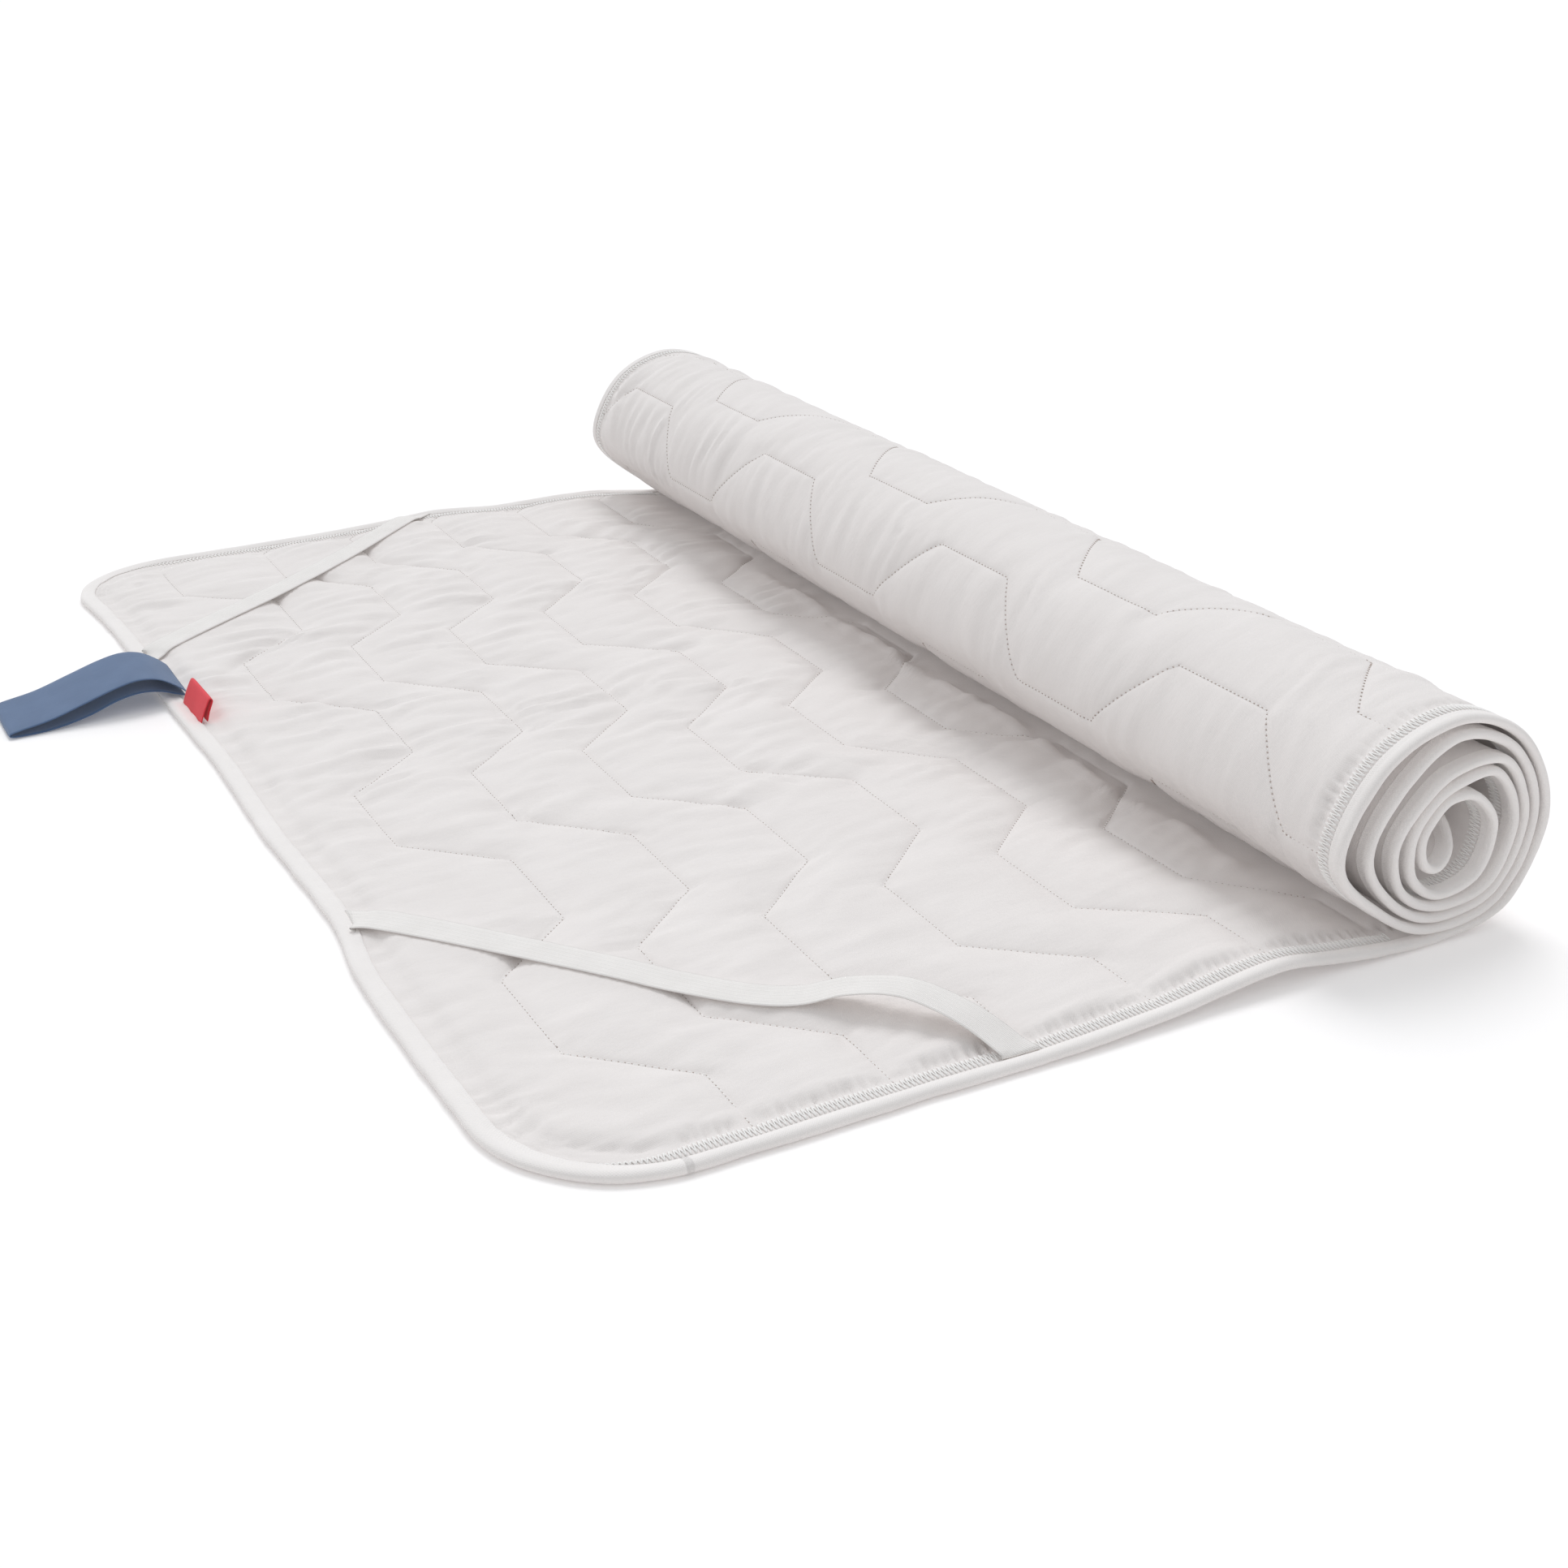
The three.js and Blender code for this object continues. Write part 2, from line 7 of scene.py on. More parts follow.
import bpy
import numpy as np
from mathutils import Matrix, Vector


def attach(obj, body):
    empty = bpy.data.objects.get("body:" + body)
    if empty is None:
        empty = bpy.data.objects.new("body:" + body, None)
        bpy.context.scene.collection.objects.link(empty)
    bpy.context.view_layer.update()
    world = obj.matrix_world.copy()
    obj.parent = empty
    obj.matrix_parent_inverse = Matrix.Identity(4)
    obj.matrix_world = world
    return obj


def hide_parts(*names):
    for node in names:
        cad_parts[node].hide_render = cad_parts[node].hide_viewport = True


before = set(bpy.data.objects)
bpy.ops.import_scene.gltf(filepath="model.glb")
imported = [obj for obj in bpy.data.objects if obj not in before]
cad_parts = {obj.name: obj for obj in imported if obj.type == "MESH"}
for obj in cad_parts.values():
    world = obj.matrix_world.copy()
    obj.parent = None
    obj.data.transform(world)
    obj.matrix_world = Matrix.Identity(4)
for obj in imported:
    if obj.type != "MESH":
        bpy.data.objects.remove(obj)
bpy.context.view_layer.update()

# Where the cloth's own zero point lies in the part's frame
ORIGIN = np.array([-209.936, -444.045, 0.0])
MILLIMETRE = 0.001

# Cut of the cloth between its bound edges
CLOTH_WIDTH = 884
CLOTH_LENGTH = 1780
CORNER_RADIUS = 64
FLAT_RUN = 459
ROLL_HEIGHT = 57

# Thickness of the quilted cloth, measured from its middle surface
HALF_THICKNESS = 2.6
SEAM_FRONT = 0.8
PUFF_FRONT = 4.9
PUFF_FULLNESS = 2.5
PRESSED_FRONT = 2.2
ROLLED_SEAM = 1.5
ROLLED_PUFF_BACK = 3.0
INNER_LAYER = 2.1
EDGE_PINCH = 16

# Quilting: parallel seams that step sideways and back, all alike
SEAM_COUNT = 12
SEAM_FIRST = 50
SEAM_SPACING = 67.8
SEAM_STRAIGHT = 72
SEAM_SLANT = 44.5
SEAM_STEP = 48
SEAM_PHASE = 135
PATTERN_LENGTH = 2 * (SEAM_STRAIGHT + SEAM_SLANT)
LAST_SEAM = SEAM_COUNT - 1

# The first seams lie flat, and the roll hides their stitches beyond a place. The others are moved
# by slack under the roll and by its skew.
FLAT_SEAMS = 7
SEAMS_HIDDEN_FROM = 434
ROLLED_SEAMS_BACK = 30
ROLLED_SEAMS_ASIDE = 20
QUILTING_END = SEAM_FIRST + LAST_SEAM * SEAM_SPACING - ROLLED_SEAMS_BACK + SEAM_STEP + 62

# The cloth's mesh: fine strips along its long edges, and quilted patches between them
STRIP_EDGE = 24
PATCH_EDGE = 27
FRONT_QUILTED_TO = 530
BACK_QUILTED_FROM = 486
WOUND_CORNER = CLOTH_LENGTH - CORNER_RADIUS

# The floor under the cloth, in metres
FLOOR_REACH = 30.0
FLOOR_DEPTH = 0.0004

# Outer radius of each turn of the roll, from under it round by the side away from the free end
TURNS = [
    (57, 65.5, 66, 62.5, 62.5, 64, 67, 50),
    (51, 59, 59, 56, 54, 47, 50, 43),
    (45, 52.5, 52.5, 49, 36, 30.5, 34, 36),
    (39, 46.5, 46, 42, 28.5, 24, 24, 28),
    (33, 36, 33, 27, 22, 17.5, 17.5, 19),
    (20, 19, 16, 14, 13.5, 13, 12, 11),
]
FLOOR_STEPS = 10
WINDING_DIVISIONS = 4000

# How the long edges wander sideways and lift off the floor: along, near, far, lifts near, middle, far
LONG_EDGES = [
    (0, 1, -14, 0, 0, 0),
    (70, 0, -12, 0, 0, 0),
    (110, 0.8, -10, 0, 0, 0),
    (175, 2.6, -5, 0, 0, 0),
    (230, 2.4, 1, 0, 0.5, 1),
    (262, 2.6, 5, 1, 2, 3),
    (310, 5, -4, 3, 3.5, 2),
    (350, 7.5, -6, 7, 3, 4),
    (372, 8, -7.5, 9, 2, 4.5),
    (395, 7.5, -9, 4.5, 1.5, 5),
    (430, 6, -13, 1.5, 0, 1.5),
    (450, 6.5, -15, 0, 0, 0),
]
EDGE_REACH = 250

# How the free end wanders: distance from the near edge, shift
FREE_END = [
    (0, 1), (60, 1.5), (120, -1), (205, -2.5), (262, 4.5), (310, 2.5), (370, -0.8), (480, 0),
    (545, -3), (600, -5.4), (712, -6.5), (784, -10.5), (831, -15.5), (884, -16),
]
FREE_END_REACH = 110

BINDING_WIDTH = 6.6
BINDING_WIDTH_END = 7.6
BINDING_HALF_FLAT = 2.8
BINDING_HALF_ROLLED = 2.5
BINDING_TAPE = 22
BINDING_STEP = 2.6
ZIGZAG_PITCH = 1.15
ZIGZAG_OUTER = 1.3
ZIGZAG_WIDTH = 7.5

STRAP_WIDTH = 18
STRAP_THICKNESS = 1.2
STRAP_RESTS_BELOW = 9.5
NEAR_STRAP = [
    (0.6, 256, 4.2), (7, 249.5, 7.2), (15, 242, 8.1), (43, 214, 8.1), (94.5, 151, 8.1),
    (119, 120, 8.1), (144, 94, 8.1), (160, 83, 9), (178, 70, 15.5), (197, 49, 19.5), (214, 23, 13.5),
    (225, 0.6, 4.2),
]
FAR_STRAP = [
    (0.6, 672, 4.2), (7, 677.5, 7.2), (18, 687, 8.1), (122, 777, 8.7), (226, 868, 8.1),
    (236, 876.5, 7.2), (244, 883.4, 4.2),
]

RIBBON_WIDTH = 54
RIBBON_ACROSS = 619
RIBBON_SKEW = 10
RIBBON_THICKNESS = 0.9
RIBBON_SECTION = [
    (5, 5.6), (-1, 7.6), (-10, 11), (-22, 12.5), (-36, 10.5), (-55, 4.5), (-76, 0.9), (-96, 0.7),
    (-101.5, 2.2), (-96, 3.9), (-76, 7), (-55, 13), (-36, 18.4), (-22, 20.6), (-10, 18.6),
    (0, 12.6), (6, 7.4),
]
STITCH_PITCH = 3.1
TAG_WIDTH = 40
TAG_ACROSS = 563
TAG_THICKNESS = 0.7
TAG_SECTION = [(1.2, 4.3), (3.6, 11), (6.6, 17.4), (8, 19.2), (9.3, 17.8), (6.9, 11.6), (5, 5.4)]


# Functions that everything uses


def smooth(share):
    share = np.clip(share, 0, 1)
    return share * share * (3 - 2 * share)


def mix(start, end, share):
    return start + (end - start) * share


def noise(x, y, seed):
    """Smooth random heights between about -1 and 1, one hump per unit."""
    turn = np.random.default_rng(seed).uniform(0, 2 * np.pi, (256, 256))
    x0, y0 = np.floor(x).astype(int), np.floor(y).astype(int)
    fx, fy = x - x0, y - y0

    def corner(dx, dy):
        angle = turn[(x0 + dx) & 255, (y0 + dy) & 255]
        return np.cos(angle) * (fx - dx) + np.sin(angle) * (fy - dy)

    sx, sy = smooth(fx), smooth(fy)
    low = mix(corner(0, 0), corner(1, 0), sx)
    high = mix(corner(0, 1), corner(1, 1), sx)
    return 1.5 * mix(low, high, sy)


def softened_table(rows, column, window):
    """A table column as a curve whose corners are rounded over the window's length."""
    table = np.array(rows, float)
    places = np.arange(table[0, 0] - window, table[-1, 0] + window, 2.0)
    values = np.interp(places, table[:, 0], table[:, column])
    weights = np.hanning(max(3, int(window / 2)))
    padded = np.pad(values, len(weights), mode="edge")
    values = np.convolve(padded, weights / weights.sum(), mode="same")[len(weights):-len(weights)]
    return lambda at: np.interp(at, places, values)


def reach_along(line):
    """How far along a line of points each of them lies."""
    return np.concatenate([[0], np.cumsum(np.linalg.norm(np.diff(line, axis=0), axis=1))])


def evenly(line, count):
    """Even points along a line, and how far along it each lies."""
    reach = reach_along(line)
    even = np.linspace(0, reach[-1], count)
    return np.column_stack([np.interp(even, reach, column) for column in line.T]), even


# The cloth's middle surface


def catmull_rom(points, t, slope=False):
    """Points, or slopes, of a smooth curve through the points, for t from 0 to 1."""
    place = (len(points) - 1) * np.clip(t, 0, 1)
    index = np.minimum(place.astype(int), len(points) - 2)
    w = (place - index)[:, None]
    before = points[np.maximum(index - 1, 0)]
    start = points[index]
    end = points[index + 1]
    after = points[np.minimum(index + 2, len(points) - 1)]
    v0, v1 = (end - before) / 2, (after - start) / 2
    cubic = 2 * start - 2 * end + v0 + v1
    square = -3 * start + 3 * end - 2 * v0 - v1
    if slope:
        return 3 * cubic * w**2 + 2 * square * w + v0
    return cubic * w**3 + square * w**2 + v0 * w + start


def winding_points():
    step = FLAT_RUN / FLOOR_STEPS
    points = [(i * step, HALF_THICKNESS) for i in range(-1, FLOOR_STEPS)]
    for turn in TURNS:
        for eighth, outer in enumerate(turn):
            angle = (eighth / len(turn) - 0.25) * 2 * math.pi
            radius = outer - HALF_THICKNESS
            x = FLAT_RUN + radius * math.cos(angle)
            points.append((x, ROLL_HEIGHT + radius * math.sin(angle)))
    return np.array(points)


WINDING = winding_points()
WINDING_STEPS = np.linspace(0, 1, WINDING_DIVISIONS + 1)
WINDING_LINE = catmull_rom(WINDING, WINDING_STEPS)
WINDING_REACH = reach_along(WINDING_LINE) - FLAT_RUN / FLOOR_STEPS

EDGE_NAMES = ("near", "far", "near_lift", "middle_lift", "far_lift")
EDGES = {name: softened_table(LONG_EDGES, i + 1, 46) for i, name in enumerate(EDGE_NAMES)}
FREE_END_SHIFT = softened_table(FREE_END, 1, 70)


def cloth_points(along, across, height):
    """Points in the part's frame, in metres."""
    along, across, height = np.broadcast_arrays(*(np.asarray(v, float) for v in (along, across, height)))
    t = np.interp(along, WINDING_REACH, WINDING_STEPS)
    place = catmull_rom(WINDING, t)
    slope = catmull_rom(WINDING, t, slope=True)
    slope /= np.linalg.norm(slope, axis=1)[:, None]
    flat = along < FLAT_RUN
    x = np.where(flat, along, place[:, 0] - slope[:, 1] * height)
    z = np.where(flat, HALF_THICKNESS + height, place[:, 1] + slope[:, 0] * height)
    near = 1 - smooth(across / EDGE_REACH)
    far = smooth((across - CLOTH_WIDTH + EDGE_REACH) / EDGE_REACH)
    edge = {name: EDGES[name](along) for name in EDGE_NAMES}
    z = z + edge["near_lift"] * near + edge["far_lift"] * far
    z = z + edge["middle_lift"] * (1 - near - far)
    x = x + FREE_END_SHIFT(across) * (1 - smooth(along / FREE_END_REACH))
    y = across + edge["near"] * near + edge["far"] * far
    return (np.column_stack([x, y, np.maximum(z, 0)]) + ORIGIN) * MILLIMETRE


def seam_phase(seam):
    """Where the pattern of a seam has got to at the near edge."""
    return SEAM_PHASE if seam < FLAT_SEAMS else SEAM_PHASE + ROLLED_SEAMS_ASIDE


def seam_along(seam, across):
    """Distance of a seam along the cloth, at a distance across it."""
    place = (across + seam_phase(seam)) % PATTERN_LENGTH
    outward = np.clip((place - SEAM_STRAIGHT) / SEAM_SLANT, 0, 1)
    back = np.clip((place - 2 * SEAM_STRAIGHT - SEAM_SLANT) / SEAM_SLANT, 0, 1)
    start = SEAM_FIRST + seam * SEAM_SPACING - (0 if seam < FLAT_SEAMS else ROLLED_SEAMS_BACK)
    return start + SEAM_STEP * (outward - back)


def seam_distance(along, across):
    """Distance square to the nearest seam."""
    nearest = np.full(along.shape, float(SEAM_SPACING))
    for seam in range(SEAM_COUNT):
        slope = seam_along(seam, across + 0.5) - seam_along(seam, across - 0.5)
        gap = np.abs(along - seam_along(seam, across)) / np.sqrt(1 + slope**2)
        nearest = np.minimum(nearest, gap)
    return nearest


def corner_inset(end_distance):
    inside = CORNER_RADIUS - np.clip(end_distance, 0, CORNER_RADIUS)
    return CORNER_RADIUS - np.sqrt(CORNER_RADIUS**2 - inside**2)


def squeezed_row(row, inset):
    """Moves a row inwards where a rounded corner needs it."""
    reach = CORNER_RADIUS + 26
    half = CLOTH_WIDTH / 2
    from_rim = half - np.abs(row - half)
    squeezed = inset + from_rim / reach * (reach - inset)
    moved = np.where(row < half, squeezed, CLOTH_WIDTH - squeezed)
    return np.where(from_rim >= reach, row, moved)


def rim_place(along, across):
    """Distance from the rim, and the place along it: rising along a long edge, and falling
    below zero round the corner and on along the free end."""
    from_end = np.minimum(along, CLOTH_LENGTH - along)
    from_side = np.minimum(across, CLOTH_WIDTH - across)
    dx, dy = CORNER_RADIUS - from_end, CORNER_RADIUS - from_side
    in_corner = (dx > 0) & (dy > 0)
    distance = np.where(in_corner, CORNER_RADIUS - np.hypot(dx, dy), np.minimum(from_end, from_side))
    turned = CORNER_RADIUS - CORNER_RADIUS * np.arctan2(dx, np.maximum(dy, 1e-6))
    round_corner = CORNER_RADIUS * (1 - math.pi / 2) - (from_side - CORNER_RADIUS)
    straight = np.where(from_side < from_end, along, round_corner)
    return distance, np.where(in_corner, turned, straight)


# Relief of the quilting


def pucker_table(seed, start, end, pitch, length, depth, unevenness):
    """Short creases square to an edge: place, length, depth, slant and width of each."""
    rng = np.random.default_rng(seed)
    steps = pitch * rng.uniform(1 - unevenness, 1 + unevenness, int((end - start) / pitch) + 8)
    places = np.cumsum(steps) + start
    count = len(places)
    return {
        "place": places,
        "length": length * rng.uniform(1 - unevenness, 1 + unevenness, count),
        "depth": depth * rng.uniform(1 - unevenness, 1, count),
        "slant": unevenness * rng.uniform(-0.5, 0.5, count),
        "width": pitch * rng.uniform(0.19, 0.27, count),
    }


def puckers(table, place, distance, start):
    """Height of a row of such creases at a place and a distance from the rim."""
    total = np.zeros_like(place)
    nearest = np.searchsorted(table["place"], place)
    for offset in (-2, -1, 0, 1):
        k = np.clip(nearest + offset, 0, len(table["place"]) - 1)
        aside = place - table["place"][k] - table["slant"][k] * (distance - start)
        shape = np.exp(-((aside / table["width"][k]) ** 2))
        fade = 1 - smooth((distance - start - 0.25 * table["length"][k]) / table["length"][k])
        total -= table["depth"][k] * shape * fade
    return total * smooth((distance - start + 1.5) / 3)


SIDE_PUCKERS = {
    side: pucker_table(seed, -10, CLOTH_LENGTH, 5.0, 6.5, 2.2, 0.3)
    for side, seed in (("near", 3), ("far", 4))
}
END_PUCKERS = {
    side: pucker_table(seed, -460, 30, 11, 26, 1.7, 0.6)
    for side, seed in (("near", 5), ("far", 6))
}


def edge_relief(along, across):
    """Puckers beside the long edges' zigzag stitches and beside the free end's binding."""
    distance, place = rim_place(along, across)
    relief = np.zeros_like(distance)
    for side, chosen in (("near", across < CLOTH_WIDTH / 2), ("far", across >= CLOTH_WIDTH / 2)):
        here = chosen & (distance < 60)
        d, p = distance[here], place[here]
        long_side = smooth(p / 40)
        fine = puckers(SIDE_PUCKERS[side], p, d, 9.5)
        coarse = puckers(END_PUCKERS[side], p, d, 2.5)
        relief[here] = fine * long_side + coarse * (1 - long_side)
    return relief


def crease_table():
    """Creases that run out from the bends of the seams: start, direction, length, depth, width."""
    rng = np.random.default_rng(11)
    rows = []
    half_pattern = SEAM_STRAIGHT + SEAM_SLANT
    for seam in range(SEAM_COUNT):
        for start in np.arange(-seam_phase(seam), CLOTH_WIDTH, half_pattern):
            for bend in (start, start + SEAM_STRAIGHT):
                for side in (-1, 1):
                    if rng.uniform() < 0.25:
                        continue
                    angle = rng.normal(0, 0.55) + (0 if side > 0 else math.pi)
                    length = rng.uniform(14, 44)
                    depth = rng.uniform(0.5, 1.9)
                    width = rng.uniform(2.2, 4.2)
                    rows.append((seam_along(seam, bend), bend, angle, length, depth, width))
    return rows


CREASES = crease_table()


def crease_relief(along, across):
    relief = np.zeros_like(along)
    order = np.argsort(along)
    sorted_along = along[order]
    for start, bend, angle, length, depth, width in CREASES:
        low, high = np.searchsorted(sorted_along, (start - length - 8, start + length + 8))
        here = order[low:high]
        here = here[np.abs(across[here] - bend) < length + 8]
        dx, dy = along[here] - start, across[here] - bend
        forward = dx * math.cos(angle) + dy * math.sin(angle)
        aside = -dx * math.sin(angle) + dy * math.cos(angle)
        share = np.clip(forward / length, 0, 1)
        fade = np.where(forward < -1, 0, (1 - share) ** 1.3) * smooth((forward + 2) / 5)
        valley = np.exp(-((aside / width) ** 2))
        ridge = np.exp(-(((aside - 1.9 * width) / (1.4 * width)) ** 2))
        relief[here] += depth * fade * (0.55 * ridge - valley)
    return relief


def wrinkles(along, across, seed, reach, pitch, skew):
    """Billows between soft creases that run along the cloth, square to the seams."""
    across = across - skew * along
    sway = 12 * noise(along / 75, across / 60, seed) + 5 * noise(along / 28, across / 30, seed + 1)
    billow = np.abs(noise(along / reach, (across + sway) / pitch, seed + 2))
    finer = np.abs(noise(along / (0.6 * reach), (across + 1.4 * sway) / (0.5 * pitch), seed + 3))
    patch = smooth(0.5 + 0.9 * noise(along / 110, across / 95, seed + 4))
    return (1.5 * billow + 0.6 * finer - 0.55) * mix(0.4, 1, patch)


def strap_rests(along, across):
    """1 right under an elastic strap and 0 away from it, and the height of its underside."""
    press = np.zeros_like(along)
    ceiling = np.full_like(along, 9.0)
    for route in (NEAR_STRAP, FAR_STRAP):
        for start, end in zip(route, route[1:]):
            if max(start[2], end[2]) > STRAP_RESTS_BELOW:
                continue
            span = np.array([end[0] - start[0], end[1] - start[1]])
            share = ((along - start[0]) * span[0] + (across - start[1]) * span[1]) / (span @ span)
            share = np.clip(share, 0, 1)
            gap = np.hypot(along - start[0] - share * span[0], across - start[1] - share * span[1])
            hold = 1 - smooth((gap - 8) / 9)
            underside = mix(start[2], end[2], share) - HALF_THICKNESS
            ceiling = np.where(hold > press, underside, ceiling)
            press = np.maximum(press, hold)
    return press, ceiling


def nip_ridge(along, across):
    """The small uneven fold that the roll pushes up in front of it."""
    centre = 421 + 5 * noise(across / 70, np.full(across.shape, 0.5), 61)
    lumps = 0.75 + 0.7 * noise(across / 17, along / 40, 62)
    reach = smooth((across - 60) / 90) * (1 - smooth((across - 560) / 200))
    return 3.8 * lumps * reach * np.exp(-(((along - centre) / 5.0) ** 2))


def face_heights(along, across):
    """Height of the upper face over the middle surface, and depth of the lower face under it."""
    gap = seam_distance(along, across)
    puff = 1 - (1 - np.clip(2 * gap / SEAM_SPACING, 0, 1)) ** PUFF_FULLNESS
    rim_distance, _ = rim_place(along, across)
    rise = puff * mix(0.25 * smooth(rim_distance / 3), 1, smooth((rim_distance - 8) / 11))
    groove = np.exp(-gap / 1.1) * smooth(rim_distance / 8)
    pressed = smooth((along - FLAT_RUN + 50) / 40)
    free = smooth((along - FLAT_RUN - 10) / 60)
    wound = smooth((along - QUILTING_END + 60) / 40)

    calm = smooth(rim_distance / 30) * (0.25 + 0.75 * smooth(gap / 6))
    soft = wrinkles(along, across, 21, 66, 15, 0.15) * calm
    soft = soft * mix(0.55, 1.15, smooth((across - 120) / 300))
    creases = crease_relief(along, across)
    edges = edge_relief(along, across)
    press, ceiling = strap_rests(along, across)

    flat_front = mix(SEAM_FRONT, PUFF_FRONT - 0.35, rise) - 0.6 * groove
    flat_front = flat_front + 2.9 * soft + 1.3 * creases + 1.15 * edges
    hugged = mix(flat_front, ceiling - 0.1, rise**0.8)
    flat_front = mix(flat_front, hugged, press)
    flat_front = np.clip(flat_front, 0.15, mix(7.2, ceiling - 0.1, smooth(press / 0.5)))
    flat_front = mix(flat_front, np.minimum(flat_front, PRESSED_FRONT), pressed)
    flat_front = flat_front + nip_ridge(along, across)
    rolled_front = mix(ROLLED_SEAM, PRESSED_FRONT, rise) + 0.3 * np.minimum(edges, 0)
    drag = wrinkles(along, across, 51, 95, 12, -0.12) * calm
    drag = drag * mix(0.7, 1.15, smooth((across - 350) / 300))
    rolled_back = mix(ROLLED_SEAM, ROLLED_PUFF_BACK, rise) - 0.55 * groove
    rolled_back = rolled_back + 2.1 * drag + 0.9 * creases + edges
    inner = INNER_LAYER + 0.45 * np.minimum(edges, 0) * smooth((40 - rim_distance) / 20)
    tucked = 0.8 * (1 - smooth((rim_distance - 3) / 2))
    front = mix(mix(flat_front, rolled_front, free), inner, wound)
    back = mix(mix(HALF_THICKNESS - tucked, np.clip(rolled_back, 0.6, 5.0), free), inner, wound)
    return front, back


# Meshes


def new_object(name, points, faces, material, uv=None, flat=False):
    mesh = bpy.data.meshes.new(name)
    mesh.from_pydata(points.tolist(), [], faces)
    if uv is not None:
        layer = mesh.uv_layers.new(name="cloth")
        corner = np.zeros(len(mesh.loops), int)
        mesh.loops.foreach_get("vertex_index", corner)
        layer.data.foreach_set("uv", np.asarray(uv, np.float32)[corner].ravel())
    mesh.polygons.foreach_set("use_smooth", [not flat] * len(mesh.polygons))
    mesh.materials.append(material)
    mesh.update()
    obj = bpy.data.objects.new(name, mesh)
    bpy.context.scene.collection.objects.link(obj)
    return obj


def zip_lines(first, first_keys, second, second_keys):
    """Triangles between two lines of nodes that run side by side, the second on the left."""
    triangles = []
    i = j = 0
    while i < len(first) - 1 or j < len(second) - 1:
        take_first = j == len(second) - 1 or (
            i < len(first) - 1 and first_keys[i + 1] <= second_keys[j + 1]
        )
        if take_first:
            triangles.append((first[i], first[i + 1], second[j]))
            i += 1
        else:
            triangles.append((first[i], second[j + 1], second[j]))
            j += 1
    return triangles


class Face:
    """One face of the cloth: two fine strips along the long edges and patches between them."""

    def __init__(self, near, far, patches):
        self.along, self.across, self.faces = [], [], []
        self.count = 0
        self.near = self.grid(*near)
        self.far = self.grid(*far)
        self.patches = [self.grid(*patch) for patch in patches]
        self.join()

    def grid(self, columns, rows):
        """Adds a grid of nodes and its faces. columns is a list of functions of the row."""
        rows = np.asarray(rows, float)
        along = np.array([column(rows) for column in columns])
        row = np.broadcast_to(rows, along.shape)
        inset = corner_inset(np.minimum(along, CLOTH_LENGTH - along))
        index = np.arange(along.size).reshape(along.shape) + self.count
        self.along.append(along.ravel())
        self.across.append(squeezed_row(row, inset).ravel())
        self.count += along.size
        a, b, c, d = index[:-1, :-1], index[1:, :-1], index[1:, 1:], index[:-1, 1:]
        self.faces += np.stack([a, b, c, d], axis=-1).reshape(-1, 4).tolist()
        return index

    def join(self):
        self.along = np.concatenate(self.along)
        self.across = np.concatenate(self.across)
        first_row = np.concatenate([patch[:, 0] for patch in self.patches])
        last_row = np.concatenate([patch[:, -1] for patch in self.patches])
        self.zip(self.near[:, -1], first_row, self.along)
        self.zip(last_row, self.far[:, 0], self.along)
        for patch, following in zip(self.patches, self.patches[1:]):
            self.zip(following[0], patch[-1], self.across)

    def zip(self, first, second, key):
        self.faces += zip_lines(first, key[first], second, key[second])

    def rim(self):
        """The four sides of the rim: near, far, free end and wound end."""
        start = np.concatenate([self.near[0], self.patches[0][0], self.far[0]])
        end = np.concatenate([self.near[-1], self.patches[-1][-1], self.far[-1]])
        return self.near[:, 0], self.far[:, -1], start, end


def constant(value):
    return lambda rows: np.full(rows.shape, float(value))


def spread(start, end, step):
    """Even places from start to end, no further apart than step."""
    return np.linspace(start, end, max(2, int(math.ceil(abs(end - start) / step)) + 1))


def seam_columns(first, last, step):
    """Columns that follow the seams, packed closer beside each seam."""
    beside = np.array([0, 0.9, 2.0, 3.6, 6.0])
    middle = spread(beside[-1], SEAM_SPACING - beside[-1], step)[1:-1]
    places = np.concatenate([beside, middle, SEAM_SPACING - beside[:0:-1]])
    columns = []
    for seam in range(first, last):
        for place in places / SEAM_SPACING:
            columns.append(
                lambda rows, seam=seam, share=place: mix(
                    seam_along(seam, rows), seam_along(seam + 1, rows), share
                )
            )
    columns.append(lambda rows: seam_along(last, rows))
    return columns


def margin_columns(step):
    """Columns from the free end to the first seam."""
    places = np.concatenate([spread(0, 12, 1.5), spread(12, STRIP_EDGE, 2.4)[1:]])
    columns = [constant(place) for place in places]
    for share in spread(0, 1, step / SEAM_FIRST)[1:-1]:
        columns.append(lambda rows, share=share: mix(STRIP_EDGE, seam_along(0, rows), share))
    return columns


def bend_rows(seam, start, end, step):
    """Rows with a node at each bend of a seam."""
    stops = [start]
    for place in np.arange(-seam_phase(seam), CLOTH_WIDTH, SEAM_STRAIGHT + SEAM_SLANT):
        stops += [p for p in (place, place + SEAM_STRAIGHT) if start + 2 < p < end - 2]
    stops = sorted(stops) + [end]
    rows = [start]
    for low, high in zip(stops, stops[1:]):
        rows += spread(low, high, step)[1:].tolist()
    return rows


def strip_columns(steps):
    """Columns of an edge strip: close together round the corners, then a step for each stretch."""
    angles = np.radians(np.arange(0, 91, 4.5))
    corner = CORNER_RADIUS * (1 - np.cos(angles))
    places = [corner]
    start = CORNER_RADIUS
    for end, step in steps:
        places.append(spread(start, end, step)[1:])
        start = end
    places.append(CLOTH_LENGTH - corner[::-1][1:])
    return [constant(place) for place in np.concatenate(places)]


def wound_columns(start):
    """Straight columns from a place on the roll to the cloth's wound end."""
    places = np.concatenate([spread(start, WOUND_CORNER, 8), [1738, 1756, 1768, CLOTH_LENGTH]])
    return [constant(place) for place in places]


